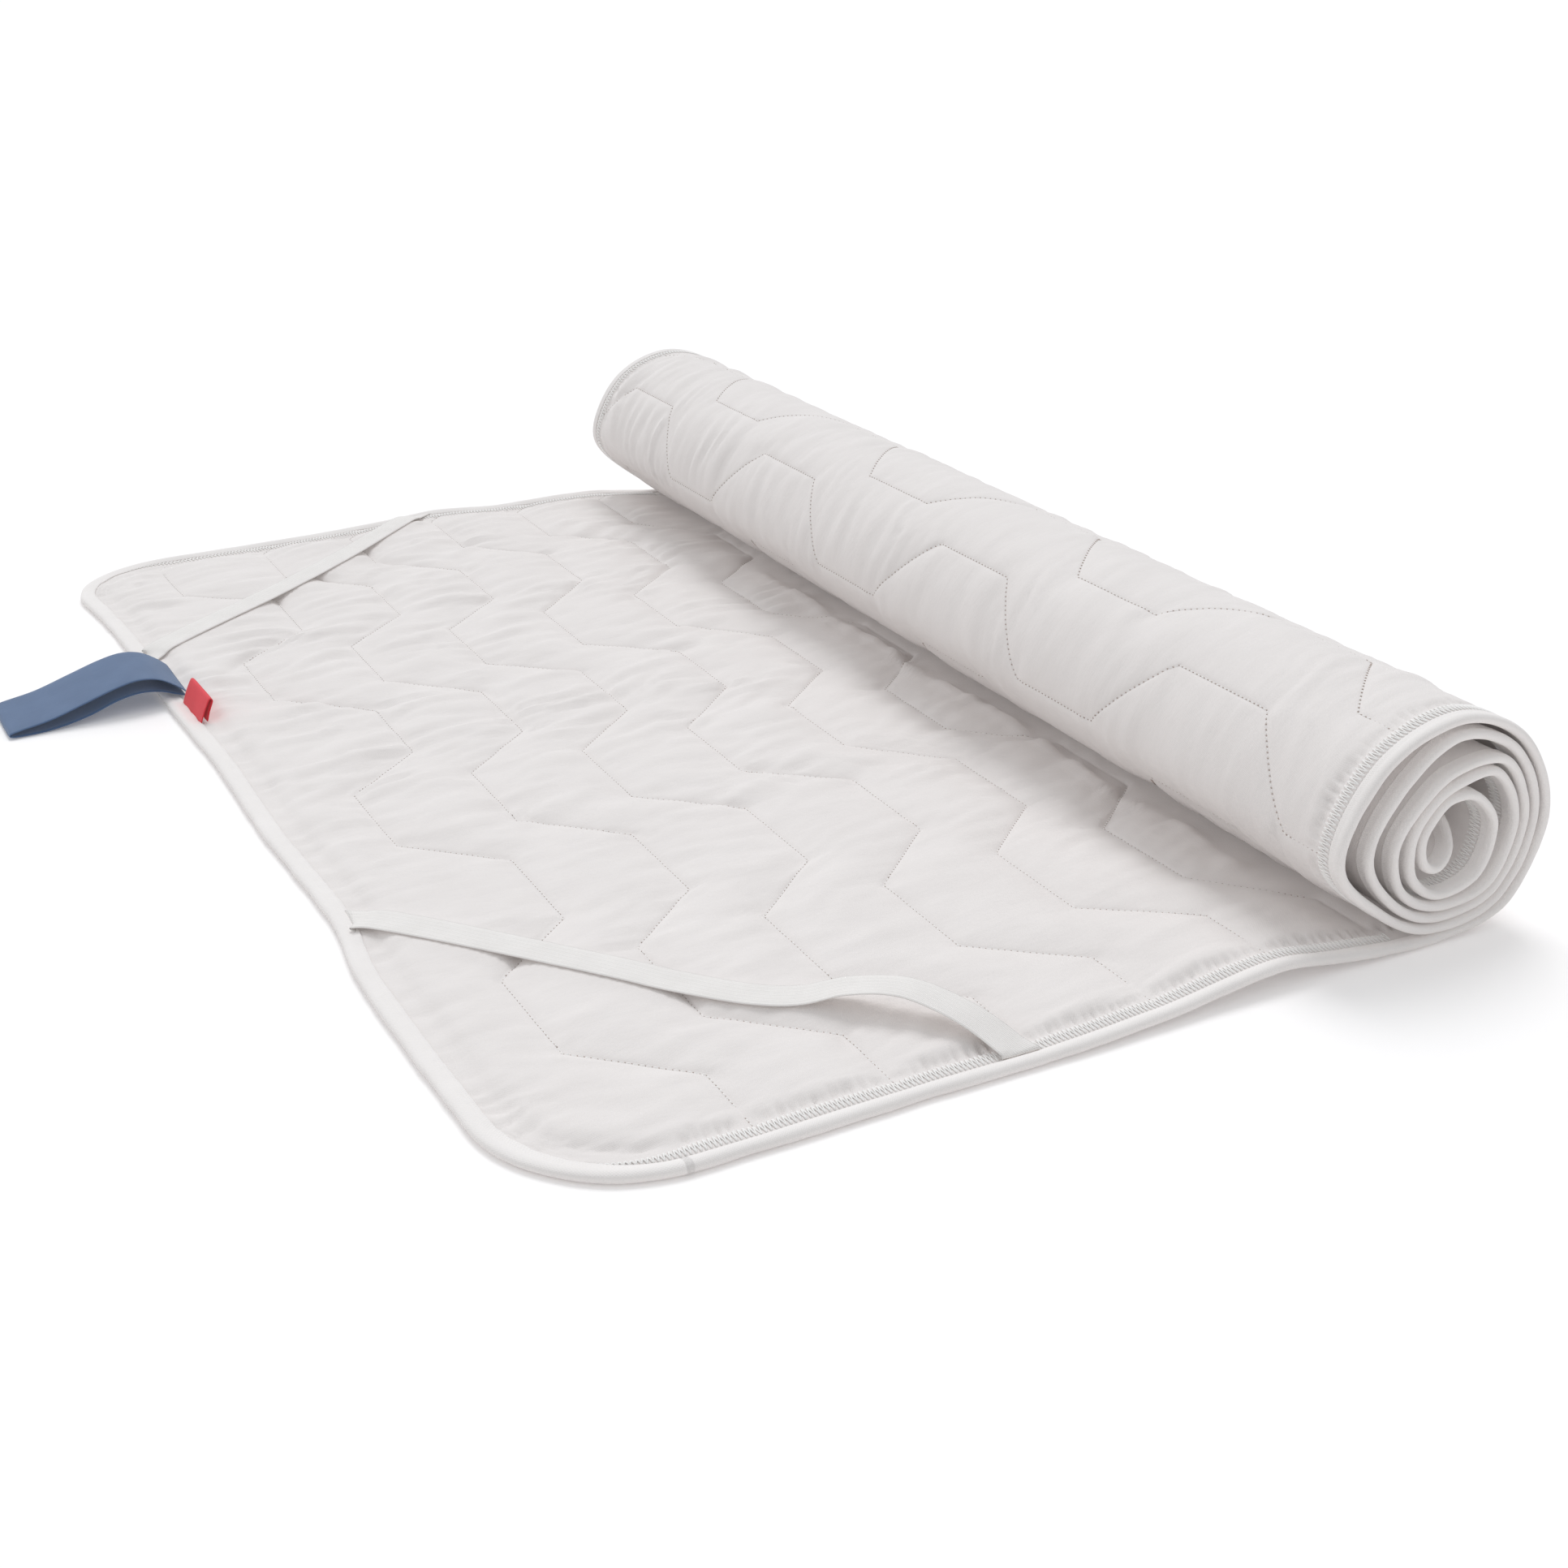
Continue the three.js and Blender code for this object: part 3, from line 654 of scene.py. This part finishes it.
def between(seam, place, shares):
    """Columns that lead from a seam to a straight line at the given place."""
    return [lambda rows, share=share: mix(seam_along(seam, rows), place, share) for share in shares]


def front_face(near_rows, far_rows, inner_rows, coarser):
    """The face that is turned up where the cloth lies flat, with its quilting up to the roll."""
    columns = margin_columns(3.4 * coarser) + seam_columns(0, FLAT_SEAMS - 1, 4.4 * coarser)
    columns += between(FLAT_SEAMS - 1, FRONT_QUILTED_TO, [0.2, 0.4, 0.6, 0.8])
    rows = bend_rows(0, PATCH_EDGE, CLOTH_WIDTH - PATCH_EDGE, 4.1 * coarser)
    return Face(
        (strip_columns([(470, 1.5 * coarser), (WOUND_CORNER, 2.6)]), near_rows),
        (strip_columns([(470, 2.6), (WOUND_CORNER, 4.5)]), far_rows),
        [(columns, rows), (wound_columns(FRONT_QUILTED_TO), inner_rows)],
    )


def back_face(near_rows, far_rows, inner_rows, coarser):
    """The face that lies on the floor and then comes up as the outside of the roll."""
    under = [constant(place) for place in [*range(0, 441, 20), 452, 462, 471, 480]]
    lead = between(FLAT_SEAMS, BACK_QUILTED_FROM, spread(1, 0, 0.11 * coarser)[:-1])
    quilted = seam_columns(FLAT_SEAMS, LAST_SEAM, 4.8 * coarser)
    tail = between(LAST_SEAM, QUILTING_END, spread(0, 1, 0.06 * coarser)[1:-1])
    rows = bend_rows(LAST_SEAM, PATCH_EDGE, CLOTH_WIDTH - PATCH_EDGE, 4.4 * coarser)
    return Face(
        (strip_columns([(440, 12), (QUILTING_END, 1.7 * coarser), (WOUND_CORNER, 3)]), near_rows),
        (strip_columns([(440, 12), (QUILTING_END, 2.8), (WOUND_CORNER, 4.5)]), far_rows),
        [(under, inner_rows), (lead + quilted + tail, rows), (wound_columns(QUILTING_END), inner_rows)],
    )


def cloth_piece(material):
    """The quilted cloth as one closed sheet."""
    coarser = 1.0
    near_rows = np.concatenate([spread(0, 19, 1.5 * coarser), spread(19, STRIP_EDGE, 2.2 * coarser)[1:]])
    first_rows = np.array([PATCH_EDGE, 34, 44, 60])
    inner_rows = np.concatenate([
        first_rows, spread(90, CLOTH_WIDTH - 90, 100), CLOTH_WIDTH - first_rows[::-1]
    ])
    rows = (near_rows, CLOTH_WIDTH - near_rows[::-1], inner_rows)
    front = front_face(*rows, coarser)
    back = back_face(*rows, coarser)
    front_height, _ = face_heights(front.along, front.across)
    _, back_height = face_heights(back.along, back.across)
    points = np.concatenate([
        cloth_points(front.along, front.across, front_height),
        cloth_points(back.along, back.across, -back_height),
    ])
    shift = front.count
    faces = front.faces + [[node + shift for node in reversed(face)] for face in back.faces]
    for side, (upper, lower) in enumerate(zip(front.rim(), back.rim())):
        key = "along" if side < 2 else "across"
        upper_keys, lower_keys = getattr(front, key)[upper], getattr(back, key)[lower]
        lower = lower + shift
        if side in (1, 2):
            upper, lower = upper[::-1], lower[::-1]
            upper_keys, lower_keys = -upper_keys[::-1], -lower_keys[::-1]
        faces += zip_lines(lower, lower_keys, upper, upper_keys)
    faces = [[int(node) for node in face] for face in faces]
    uv = np.column_stack([
        np.concatenate([front.along, back.along]), np.concatenate([front.across, back.across])
    ]) * MILLIMETRE
    return new_object("quilted_cloth", points, faces, material, uv)


def surface(along, across, front, lift):
    """Points on a face of the cloth, lifted off it, and the direction that the face looks."""
    upper, lower = face_heights(along, across)
    height = upper + lift if front else -lower - lift
    point = cloth_points(along, across, height)
    away = cloth_points(along, across, height + (1 if front else -1)) - point
    return point, away / np.maximum(np.linalg.norm(away, axis=1), 1e-9)[:, None]


def threads(name, centres, normals, radii, material, sides=5):
    """Many short tubes as one mesh. centres is (tubes, rings, 3); radii has one for each ring."""
    tubes, rings, _ = centres.shape
    heading = np.gradient(centres, axis=1)
    heading /= np.maximum(np.linalg.norm(heading, axis=2), 1e-9)[..., None]
    side = np.cross(heading, normals)
    side /= np.maximum(np.linalg.norm(side, axis=2), 1e-9)[..., None]
    up = np.cross(side, heading)
    angles = np.linspace(0, 2 * np.pi, sides, endpoint=False)
    offset = side[:, :, None] * np.cos(angles)[None, None, :, None]
    offset = offset + up[:, :, None] * np.sin(angles)[None, None, :, None]
    points = centres[:, :, None] + offset * np.asarray(radii)[None, :, None, None] * MILLIMETRE
    index = np.arange(tubes * rings * sides).reshape(tubes, rings, sides)
    after = np.roll(index, -1, axis=2)
    walls = np.stack([index[:, :-1], index[:, 1:], after[:, 1:], after[:, :-1]], axis=-1)
    faces = walls.reshape(-1, 4).tolist() + index[:, 0].tolist() + index[:, -1, ::-1].tolist()
    return new_object(name, points.reshape(-1, 3), faces, material)


def stitches(name, lines, radii, material):
    """Stitches as one mesh. Each line has places along and across, lifts off the cloth, and
    whether it lies on the upper face."""
    tubes, normals = [], []
    for along, across, lifts, front in lines:
        lift = np.broadcast_to(lifts, along.shape)
        point, normal = surface(along.ravel(), across.ravel(), front, lift.ravel())
        tubes.append(point.reshape(*along.shape, 3))
        normals.append(normal.reshape(*along.shape, 3))
    return threads(name, np.concatenate(tubes), np.concatenate(normals), radii, material)


def seam_lines(spots):
    """Places along and across of the stitches in each quilting seam, at the given spots of
    each stitch, and whether they lie on the upper face."""
    fine = np.linspace(5, CLOTH_WIDTH - 5, 3000)
    for seam in range(SEAM_COUNT):
        front = seam < FLAT_SEAMS
        reach = reach_along(np.column_stack([seam_along(seam, fine), fine]))
        middle = np.arange(STITCH_PITCH, reach[-1] - STITCH_PITCH, STITCH_PITCH)
        across = np.interp(middle[:, None] + spots, reach, fine)
        if front:
            across = across[seam_along(seam, across[:, 0]) < SEAMS_HIDDEN_FROM]
        yield seam_along(seam, across), across, front


def seam_stitches(material):
    """Running stitches in the quilting seams: on the upper face where the cloth lies flat, and
    on the other face where it is rolled."""
    lifts = np.array([-0.3, 0.12, 0.12, -0.3])
    spots = np.array([-1.05, -0.6, 0.6, 1.05])
    lines = [(along, across, lifts, front) for along, across, front in seam_lines(spots)]
    return stitches("seam_stitches", lines, [0.1, 0.26, 0.26, 0.1], material)


def painted_hole_shade(material):
    """Painted shade between the stitches: short dark tubes that stand for the shade in the needle holes,
    longer and sunk less deep on the roll's outer face.
    """
    lines = []
    for along, across, front in seam_lines(np.array([STITCH_PITCH / 2])):
        half_length, rise = (0.24, -0.02) if front else (0.5, 0.07)
        spots = np.array([-1.0, -0.75, 0.75, 1.0]) * half_length
        lifts = np.array([-0.17, 0.0, 0.0, -0.17]) + rise
        lines.append((along + 0 * spots, across + spots, lifts, front))
    return stitches("painted_hole_shade", lines, [0.1, 0.36, 0.36, 0.1], material)


def edge_stitches(material):
    """Zigzag stitches that hold the cord along the long edges, where they show."""
    share = np.array([0, 0.12, 0.5, 0.88, 1.0])
    lifts = np.array([0.0, 0.3, 0.4, 0.3, 0.0])
    lines = []
    for front, start, end in ((True, 18, 440), (False, 470, 860), (True, 860, 1730)):
        places = np.arange(start, end, ZIGZAG_PITCH)[:, None]
        outwards = np.arange(len(places))[:, None] % 2 == 1
        along = places + ZIGZAG_PITCH * share
        inner = ZIGZAG_OUTER + ZIGZAG_WIDTH * smooth((along - start) / 60)
        across = np.where(outwards, mix(inner, ZIGZAG_OUTER, share), mix(ZIGZAG_OUTER, inner, share))
        across = across + corner_inset(np.minimum(along, CLOTH_LENGTH - along))
        lines.append((along, across, lifts, front))
        lines.append((along, CLOTH_WIDTH - across, lifts, front))
    return stitches("edge_stitches", lines, [0.25, 0.42, 0.42, 0.42, 0.25], material)


def rim_line(step):
    """The rim as a closed line: along, across and the two parts of the outward direction."""
    low, high = CORNER_RADIUS, np.array([CLOTH_LENGTH, CLOTH_WIDTH]) - CORNER_RADIUS
    centres = np.array([(low, low), (high[0], low), high, (low, high[1])])
    outward = np.array([(0, -1), (1, 0), (0, 1), (-1, 0)])
    angle = np.radians(np.arange(3.0, 90, 3.0))[:, None]
    points, directions = [], []
    for side in range(4):
        following = (side + 1) % 4
        start, end = centres[side], centres[following]
        share = spread(0, 1, step / np.abs(end - start).max())[:, None]
        turning = outward[side] * np.cos(angle) + outward[following] * np.sin(angle)
        points += [mix(start, end, share) + CORNER_RADIUS * outward[side], end + CORNER_RADIUS * turning]
        directions += [np.tile(outward[side], (len(share), 1)), turning]
    return (*np.concatenate(points).T, *np.concatenate(directions).T)


def band_uv(reach, aside):
    """Texture coordinates in metres, from the distance along a band and the distance aside."""
    return np.stack(np.broadcast_arrays(reach[:, None], aside), axis=-1) * MILLIMETRE


def binding_piece(material):
    """The binding round the whole rim: a cord along the long edges, flatter along the ends,
    with a lip on each face that covers the cloth's cut edge."""
    along, across, out_along, out_across = rim_line(BINDING_STEP)
    count = len(along)
    place = np.arange(count) * BINDING_STEP
    rolled = smooth((along - FLAT_RUN + 90) / 60)
    at_end = smooth(np.abs(out_along)) * (1 - rolled)
    half = mix(mix(BINDING_HALF_FLAT, BINDING_HALF_ROLLED, rolled), 2.5, at_end)
    centre = half - BINDING_HALF_ROLLED
    uneven = 1 + 0.05 * noise(place / 17, np.zeros(count) + 0.5, 31)
    uneven = uneven + 0.015 * noise(place / 6, np.zeros(count) + 0.5, 32)
    lip = mix(1.1, 2.2, at_end)
    width = mix(BINDING_WIDTH, BINDING_WIDTH_END, at_end)
    upper, lower = face_heights(along - out_along * lip, across - out_across * lip)
    rim_upper, rim_lower = face_heights(along - out_along * 0.1, across - out_across * 0.1)

    section = [(0.12, 0.1 + rim_upper * 0.6), (-0.1, rim_upper + 0.1), (-lip, upper + 0.12)]
    section += [(-lip + 0.1, upper + 0.5), (-lip + 0.8, upper + 0.85)]
    for angle in np.radians(np.linspace(128, -128, 13)):
        distance = 0.3 + width * (0.5 + 0.5 * np.cos(angle)) * uneven
        rise = np.sign(np.sin(angle)) * np.abs(np.sin(angle)) ** 0.8 * uneven
        section.append((distance, centre + rise * half))
    section += [(-lip + 0.8, -lower - 0.85), (-lip + 0.1, -lower - 0.5)]
    section += [(-lip, -lower - 0.12), (-0.1, -rim_lower - 0.1), (0.12, -0.1 - rim_lower * 0.6)]
    points = []
    for distance, height in section:
        height = np.maximum(height + np.zeros(count), -HALF_THICKNESS)
        points.append(cloth_points(along + out_along * distance, across + out_across * distance, height))
    points = np.stack(points, axis=1)
    sides = len(section)
    index = np.arange(count * sides).reshape(count, sides)
    next_station = np.roll(index, -1, axis=0)
    next_side = np.roll(index, -1, axis=1)
    both = np.roll(next_station, -1, axis=1)
    faces = np.stack([index, next_side, both, next_station], axis=-1).reshape(-1, 4).tolist()
    uv = band_uv(place, np.linspace(0, BINDING_TAPE, sides)[None])
    return new_object("bound_edge", points.reshape(-1, 3), faces, material, uv.reshape(-1, 2))


def centripetal(points, count):
    """Even points of a smooth curve through the given ones, and how far along it each lies."""
    points = np.asarray(points, float)
    lead = 2 * points[0] - points[1]
    tail = 2 * points[-1] - points[-2]
    p = np.vstack([lead, points, tail])
    knots = np.concatenate([[0], np.cumsum(np.linalg.norm(np.diff(p, axis=0), axis=1) ** 0.5)])
    pieces = []
    for i in range(1, len(p) - 2):
        t = np.linspace(knots[i], knots[i + 1], 40, endpoint=i == len(p) - 3)[:, None]

        def blend(first, second, low, high):
            return ((high - t) * first + (t - low) * second) / (high - low)

        t0, t1, t2, t3 = knots[i - 1:i + 3]
        a1 = blend(p[i - 1], p[i], t0, t1)
        a2 = blend(p[i], p[i + 1], t1, t2)
        a3 = blend(p[i + 1], p[i + 2], t2, t3)
        pieces.append(blend(blend(a1, a2, t0, t2), blend(a2, a3, t1, t3), t1, t2))
    return evenly(np.vstack(pieces), count)


def square_to(line):
    """Directions square to a line in a plane, towards its left."""
    heading = np.gradient(line, axis=0)
    heading /= np.linalg.norm(heading, axis=1)[:, None]
    return np.column_stack([-heading[:, 1], heading[:, 0]])


def closed_band(name, rings, uv_rings, material):
    """A closed solid from rings of points, (stations, ring points, 3), with flat ends."""
    stations, around, _ = rings.shape
    index = np.arange(stations * around).reshape(stations, around)
    after = np.roll(index, -1, axis=1)
    faces = np.stack([index[:-1], after[:-1], after[1:], index[1:]], axis=-1).reshape(-1, 4).tolist()
    faces += [index[0, ::-1].tolist(), index[-1].tolist()]
    return new_object(name, rings.reshape(-1, 3), faces, material, uv_rings.reshape(-1, 2))


def band_section(width, thickness, ribs):
    """Section of a flat band, as pairs of distance aside and height, with ribbed faces."""
    aside = np.linspace(-0.5, 0.5, ribs)
    rib = 0.06 * thickness * np.cos(np.arange(ribs) * math.pi)
    edge = 1 - 0.55 * np.abs(2 * aside) ** 8
    upper = np.column_stack([aside * width, thickness / 2 * edge + rib])
    lower = np.column_stack([aside[::-1] * width, -thickness / 2 * edge[::-1] + rib[::-1]])
    return np.vstack([upper, lower])


def strap_piece(name, route, material):
    """A flat elastic strap, its ends cut along the edges that hold them."""
    line, reach = centripetal(route, 200)
    square = square_to(line[:, :2])
    side = square.copy()
    side[0], side[-1] = (0, 1), (1, 0)
    blend = 3
    for i in range(1, blend):
        side[i] = mix(side[0] * np.sign(side[0] @ square[0]), square[i], i / blend)
        side[-1 - i] = mix(side[-1] * np.sign(side[-1] @ square[-1]), square[-1 - i], i / blend)
    side /= np.einsum("ij,ij->i", side, square)[:, None]
    section = band_section(STRAP_WIDTH, STRAP_THICKNESS, 21)
    rest = smooth(reach / 30) * smooth((reach[-1] - reach) / 30)
    ripple = 0.3 * np.maximum(0, noise(reach / 26, np.zeros(len(reach)) + 0.5, 41)) * rest
    aside, rise = section[:, 0][None], section[:, 1][None]
    along = line[:, 0:1] + side[:, 0:1] * aside
    across = line[:, 1:2] + side[:, 1:2] * aside
    height = line[:, 2:3] + STRAP_THICKNESS / 2 + ripple[:, None] + rise - HALF_THICKNESS
    points = cloth_points(along.ravel(), across.ravel(), height.ravel())
    uv = band_uv(reach, aside)
    return closed_band(name, points.reshape(len(line), -1, 3), uv, material)


def ribbon_piece(name, section, width, across, skew, thickness, count, material):
    """A folded ribbon: its section across the free end, swept over the ribbon's width."""
    section = np.asarray(section, float)
    line, reach = evenly(catmull_rom(section, np.linspace(0, 1, 2000)), count)
    normal = square_to(line)
    ring = band_section(width, thickness, 25)
    aside, rise = ring[:, 0][None], ring[:, 1][None]
    shift = skew * np.clip(line[:, 0:1] / section[:, 0].min(), 0, 1)
    along = line[:, 0:1] + normal[:, 0:1] * rise
    height = line[:, 1:2] + normal[:, 1:2] * rise - HALF_THICKNESS
    place = across - shift + aside
    points = cloth_points(along.ravel(), place.ravel(), height.ravel())
    uv = band_uv(reach, aside)
    rings = points.reshape(count, -1, 3)[:, ::-1]
    return closed_band(name, rings, uv[:, ::-1], material)


# Materials


class Nodes:
    """Small helper that adds and links the nodes of one material."""

    def __init__(self, name):
        self.material = bpy.data.materials.new(name)
        self.material.use_nodes = True
        self.tree = self.material.node_tree
        self.tree.nodes.clear()
        self.shader = self.add("ShaderNodeBsdfPrincipled")
        output = self.add("ShaderNodeOutputMaterial")
        self.link(self.shader.outputs["BSDF"], output.inputs["Surface"])

    def add(self, kind, **settings):
        node = self.tree.nodes.new(kind)
        for key, value in settings.items():
            setattr(node, key, value)
        return node

    def link(self, start, end):
        self.tree.links.new(start, end)

    def value(self, operation, first, second=0.0, third=0.0):
        node = self.add("ShaderNodeMath", operation=operation)
        for socket, value in zip(node.inputs, (first, second, third)):
            if isinstance(value, (int, float)):
                socket.default_value = value
            else:
                self.link(value, socket)
        return node.outputs[0]

    def coordinates(self, name):
        return self.add("ShaderNodeTexCoord").outputs[name]

    def split(self, vector):
        """The first two parts of a vector."""
        node = self.add("ShaderNodeSeparateXYZ")
        self.link(vector, node.inputs[0])
        return node.outputs["X"], node.outputs["Y"]

    def wave(self, source, waves_per_metre):
        return self.value("SINE", self.value("MULTIPLY", source, 2 * math.pi * waves_per_metre))

    def noise(self, coordinates, **inputs):
        node = self.add("ShaderNodeTexNoise")
        self.link(coordinates, node.inputs["Vector"])
        for key, value in inputs.items():
            node.inputs[key].default_value = value
        return node.outputs["Fac"]

    def mapped(self, source, scale):
        node = self.add("ShaderNodeMapping")
        self.link(source, node.inputs["Vector"])
        node.inputs["Scale"].default_value = scale
        return node.outputs["Vector"]

    def ramp(self, factor, dark, light, places=(0.3, 0.7)):
        node = self.add("ShaderNodeValToRGB")
        for element, place, colour in zip(node.color_ramp.elements, places, (dark, light)):
            element.position = place
            element.color = (*colour, 1)
        self.link(factor, node.inputs["Fac"])
        return node.outputs["Color"]

    def bump(self, height, strength, distance, previous=None):
        node = self.add("ShaderNodeBump")
        node.inputs["Strength"].default_value = strength
        node.inputs["Distance"].default_value = distance
        self.link(height, node.inputs["Height"])
        if previous is not None:
            self.link(previous, node.inputs["Normal"])
        return node.outputs["Normal"]

    def finish(self, colour, normal, roughness, sheen=0.0, specular=0.5):
        """Links the colour and the normal, and sets how the surface takes the light."""
        inputs = self.shader.inputs
        self.link(colour, inputs["Base Color"])
        if normal is not None:
            self.link(normal, inputs["Normal"])
        inputs["Roughness"].default_value = roughness
        inputs["Sheen Weight"].default_value = sheen
        inputs["Specular IOR Level"].default_value = specular
        return self.material


def weave_height(nodes, uv, threads_per_metre):
    """Height of a plain weave: warp and weft threads that cross over and under."""
    lengthwise, sideways = nodes.split(uv)
    warp = nodes.wave(lengthwise, threads_per_metre / 2)
    weft = nodes.wave(sideways, threads_per_metre / 2)
    return nodes.value("MULTIPLY", warp, weft)


def fabric(name, light, dark, roughness, sheen, threads_per_metre, weave, crumple):
    """Woven cloth: faint colour variation, a weave and a fine crumpled surface."""
    nodes = Nodes(name)
    uv = nodes.coordinates("UV")
    cloudy = nodes.noise(uv, Scale=24.0, Detail=3.0, Roughness=0.55)
    grain = nodes.noise(uv, Scale=900.0, Detail=2.0, Roughness=0.6)
    creased = nodes.noise(nodes.mapped(uv, (60, 150, 60)), Scale=1.0, Detail=4.0, Roughness=0.6)
    blend = nodes.value("MULTIPLY_ADD", grain, 0.35, nodes.value("MULTIPLY", cloudy, 0.65))
    normal = nodes.bump(creased, crumple, 0.0012)
    normal = nodes.bump(weave_height(nodes, uv, threads_per_metre), weave, 0.00012, normal)
    normal = nodes.bump(grain, 0.25, 0.00015, normal)
    return nodes.finish(nodes.ramp(blend, dark, light), normal, roughness, sheen, 0.25)


def thread_material(name, colour):
    nodes = Nodes(name)
    twist = nodes.noise(nodes.coordinates("Object"), Scale=1800.0, Detail=2.0)
    darker = tuple(0.9 * c for c in colour)
    return nodes.finish(nodes.ramp(twist, darker, colour), nodes.bump(twist, 0.4, 0.0001), 0.6)


def ribbed_material(name, light, dark, roughness, ribs_per_metre, along_ribs, picks_per_metre, sheen):
    """A narrow woven band: ribs one way, lengthwise or across, and fine picks the other way."""
    nodes = Nodes(name)
    uv = nodes.coordinates("UV")
    lengthwise, sideways = nodes.split(uv)
    if not along_ribs:
        lengthwise, sideways = sideways, lengthwise
    ribs = nodes.wave(sideways, ribs_per_metre)
    picks = nodes.wave(lengthwise, picks_per_metre)
    cloudy = nodes.noise(uv, Scale=60.0, Detail=4.0)
    tone = nodes.value("MULTIPLY_ADD", ribs, 0.12, cloudy)
    normal = nodes.bump(ribs, 0.5, 0.00015)
    normal = nodes.bump(picks, 0.35, 0.0001, normal)
    return nodes.finish(nodes.ramp(tone, dark, light), normal, roughness, sheen, 0.3)


# The scene


def make_camera():
    """The photograph's view: from the near left, about a quarter of a right angle above level."""
    data = bpy.data.cameras.new("camera")
    data.sensor_width = 36
    data.lens = 47.284
    data.clip_end = 50
    camera = bpy.data.objects.new("camera", data)
    camera.location = (-0.4303, -1.0710, 0.4758)
    camera.rotation_euler = (math.radians(90 - 24.161), 0, math.radians(-27.6))
    bpy.context.scene.collection.objects.link(camera)
    bpy.context.scene.camera = camera


def make_floor():
    nodes = Nodes("pale_floor")
    cloudy = nodes.noise(nodes.coordinates("Object"), Scale=3.0, Detail=2.0)
    colour = nodes.ramp(cloudy, (0.985, 0.96, 0.95), (0.99, 0.965, 0.955), places=(0.0, 1.0))
    material = nodes.finish(colour, None, 0.9, specular=0.0)
    corners = np.array([(-1, -1, 0), (1, -1, 0), (1, 1, 0), (-1, 1, 0)])
    points = corners * FLOOR_REACH - (0, 0, FLOOR_DEPTH)
    floor = new_object("floor", points, [[0, 1, 2, 3]], material, flat=True)


def add_sun(name, strength, direction, angle, shadow):
    data = bpy.data.lights.new(name, "SUN")
    data.energy = strength
    data.angle = math.radians(angle)
    data.color = (0.965, 0.98, 1.0)
    data.use_shadow = shadow
    light = bpy.data.objects.new(name, data)
    light.rotation_euler = Vector(direction).to_track_quat("-Z", "Y").to_euler()
    bpy.context.scene.collection.objects.link(light)


def make_light():
    """Even white surroundings, a soft light from behind on the right that casts the shadows, and
    a low one from behind on the left that only brings out the relief."""
    world = bpy.data.worlds.new("studio")
    bpy.context.scene.world = world
    world.use_nodes = True
    background = world.node_tree.nodes["Background"]
    background.inputs["Color"].default_value = (0.945, 0.978, 1.0, 1)
    background.inputs["Strength"].default_value = 0.68
    add_sun("shadow_light", 1.05, (-0.3, -0.42, -1.0), 30, True)
    add_sun("relief_light", 0.66, (0.3, -0.8, -0.62), 10, False)


make_camera()
make_floor()
make_light()
bpy.context.scene.view_settings.view_transform = "Standard"
bpy.context.scene.view_settings.exposure = 0.0

cotton = fabric("quilted_cotton", (0.80, 0.755, 0.735), (0.755, 0.71, 0.69), 0.85, 0.15, 2400, 0.35, 0.35)
tape = fabric("cotton_tape", (0.85, 0.81, 0.79), (0.805, 0.765, 0.745), 0.8, 0.1, 1800, 0.45, 0.3)
elastic = ribbed_material(
    "woven_elastic", (0.835, 0.80, 0.775), (0.79, 0.755, 0.73), 0.75, 900, True, 1500, 0.1
)
ribbon_blue = ribbed_material(
    "blue_ribbon", (0.092, 0.160, 0.300), (0.074, 0.135, 0.262), 0.55, 2200, False, 1300, 0.2
)
tag_red = ribbed_material(
    "red_woven", (0.82, 0.036, 0.055), (0.74, 0.028, 0.044), 0.6, 1600, False, 1200, 0.15
)
thread = thread_material("white_thread", (0.89, 0.865, 0.845))
# Dark brown thread colour that paints the shade of the needle holes between the stitches
painted_shade_material = thread_material("painted_shade_dots", (0.46, 0.38, 0.34))

cloth = cloth_piece(cotton)
binding = binding_piece(tape)
quilting = seam_stitches(thread)
# Painted shade: dark tubes between the quilting stitches in place of the shade in the needle holes
painted_hole_marks = painted_hole_shade(painted_shade_material)
overlock = edge_stitches(thread)
near_strap = strap_piece("corner_strap_near", NEAR_STRAP, elastic)
far_strap = strap_piece("corner_strap_far", FAR_STRAP, elastic)
loop = ribbon_piece(
    "ribbon_loop", RIBBON_SECTION, RIBBON_WIDTH, RIBBON_ACROSS, RIBBON_SKEW, RIBBON_THICKNESS, 120,
    ribbon_blue,
)
tag = ribbon_piece("folded_tag", TAG_SECTION, TAG_WIDTH, TAG_ACROSS, 0, TAG_THICKNESS, 44, tag_red)

for piece, slot in (
    (cloth, "quilted_cotton"), (binding, "cotton_binding"), (quilting, "quilted_cotton"),
    (painted_hole_marks, "quilted_cotton"), (overlock, "cotton_binding"), (near_strap, "woven_elastic"),
    (far_strap, "woven_elastic"), (loop, "blue_ribbon"), (tag, "red_woven"),
):
    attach(piece, "root")
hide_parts("quilted_panel")
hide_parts("edge_binding")
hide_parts("elastic_strap_near")
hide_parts("elastic_strap_far")
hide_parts("label_loop")
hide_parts("side_tag")
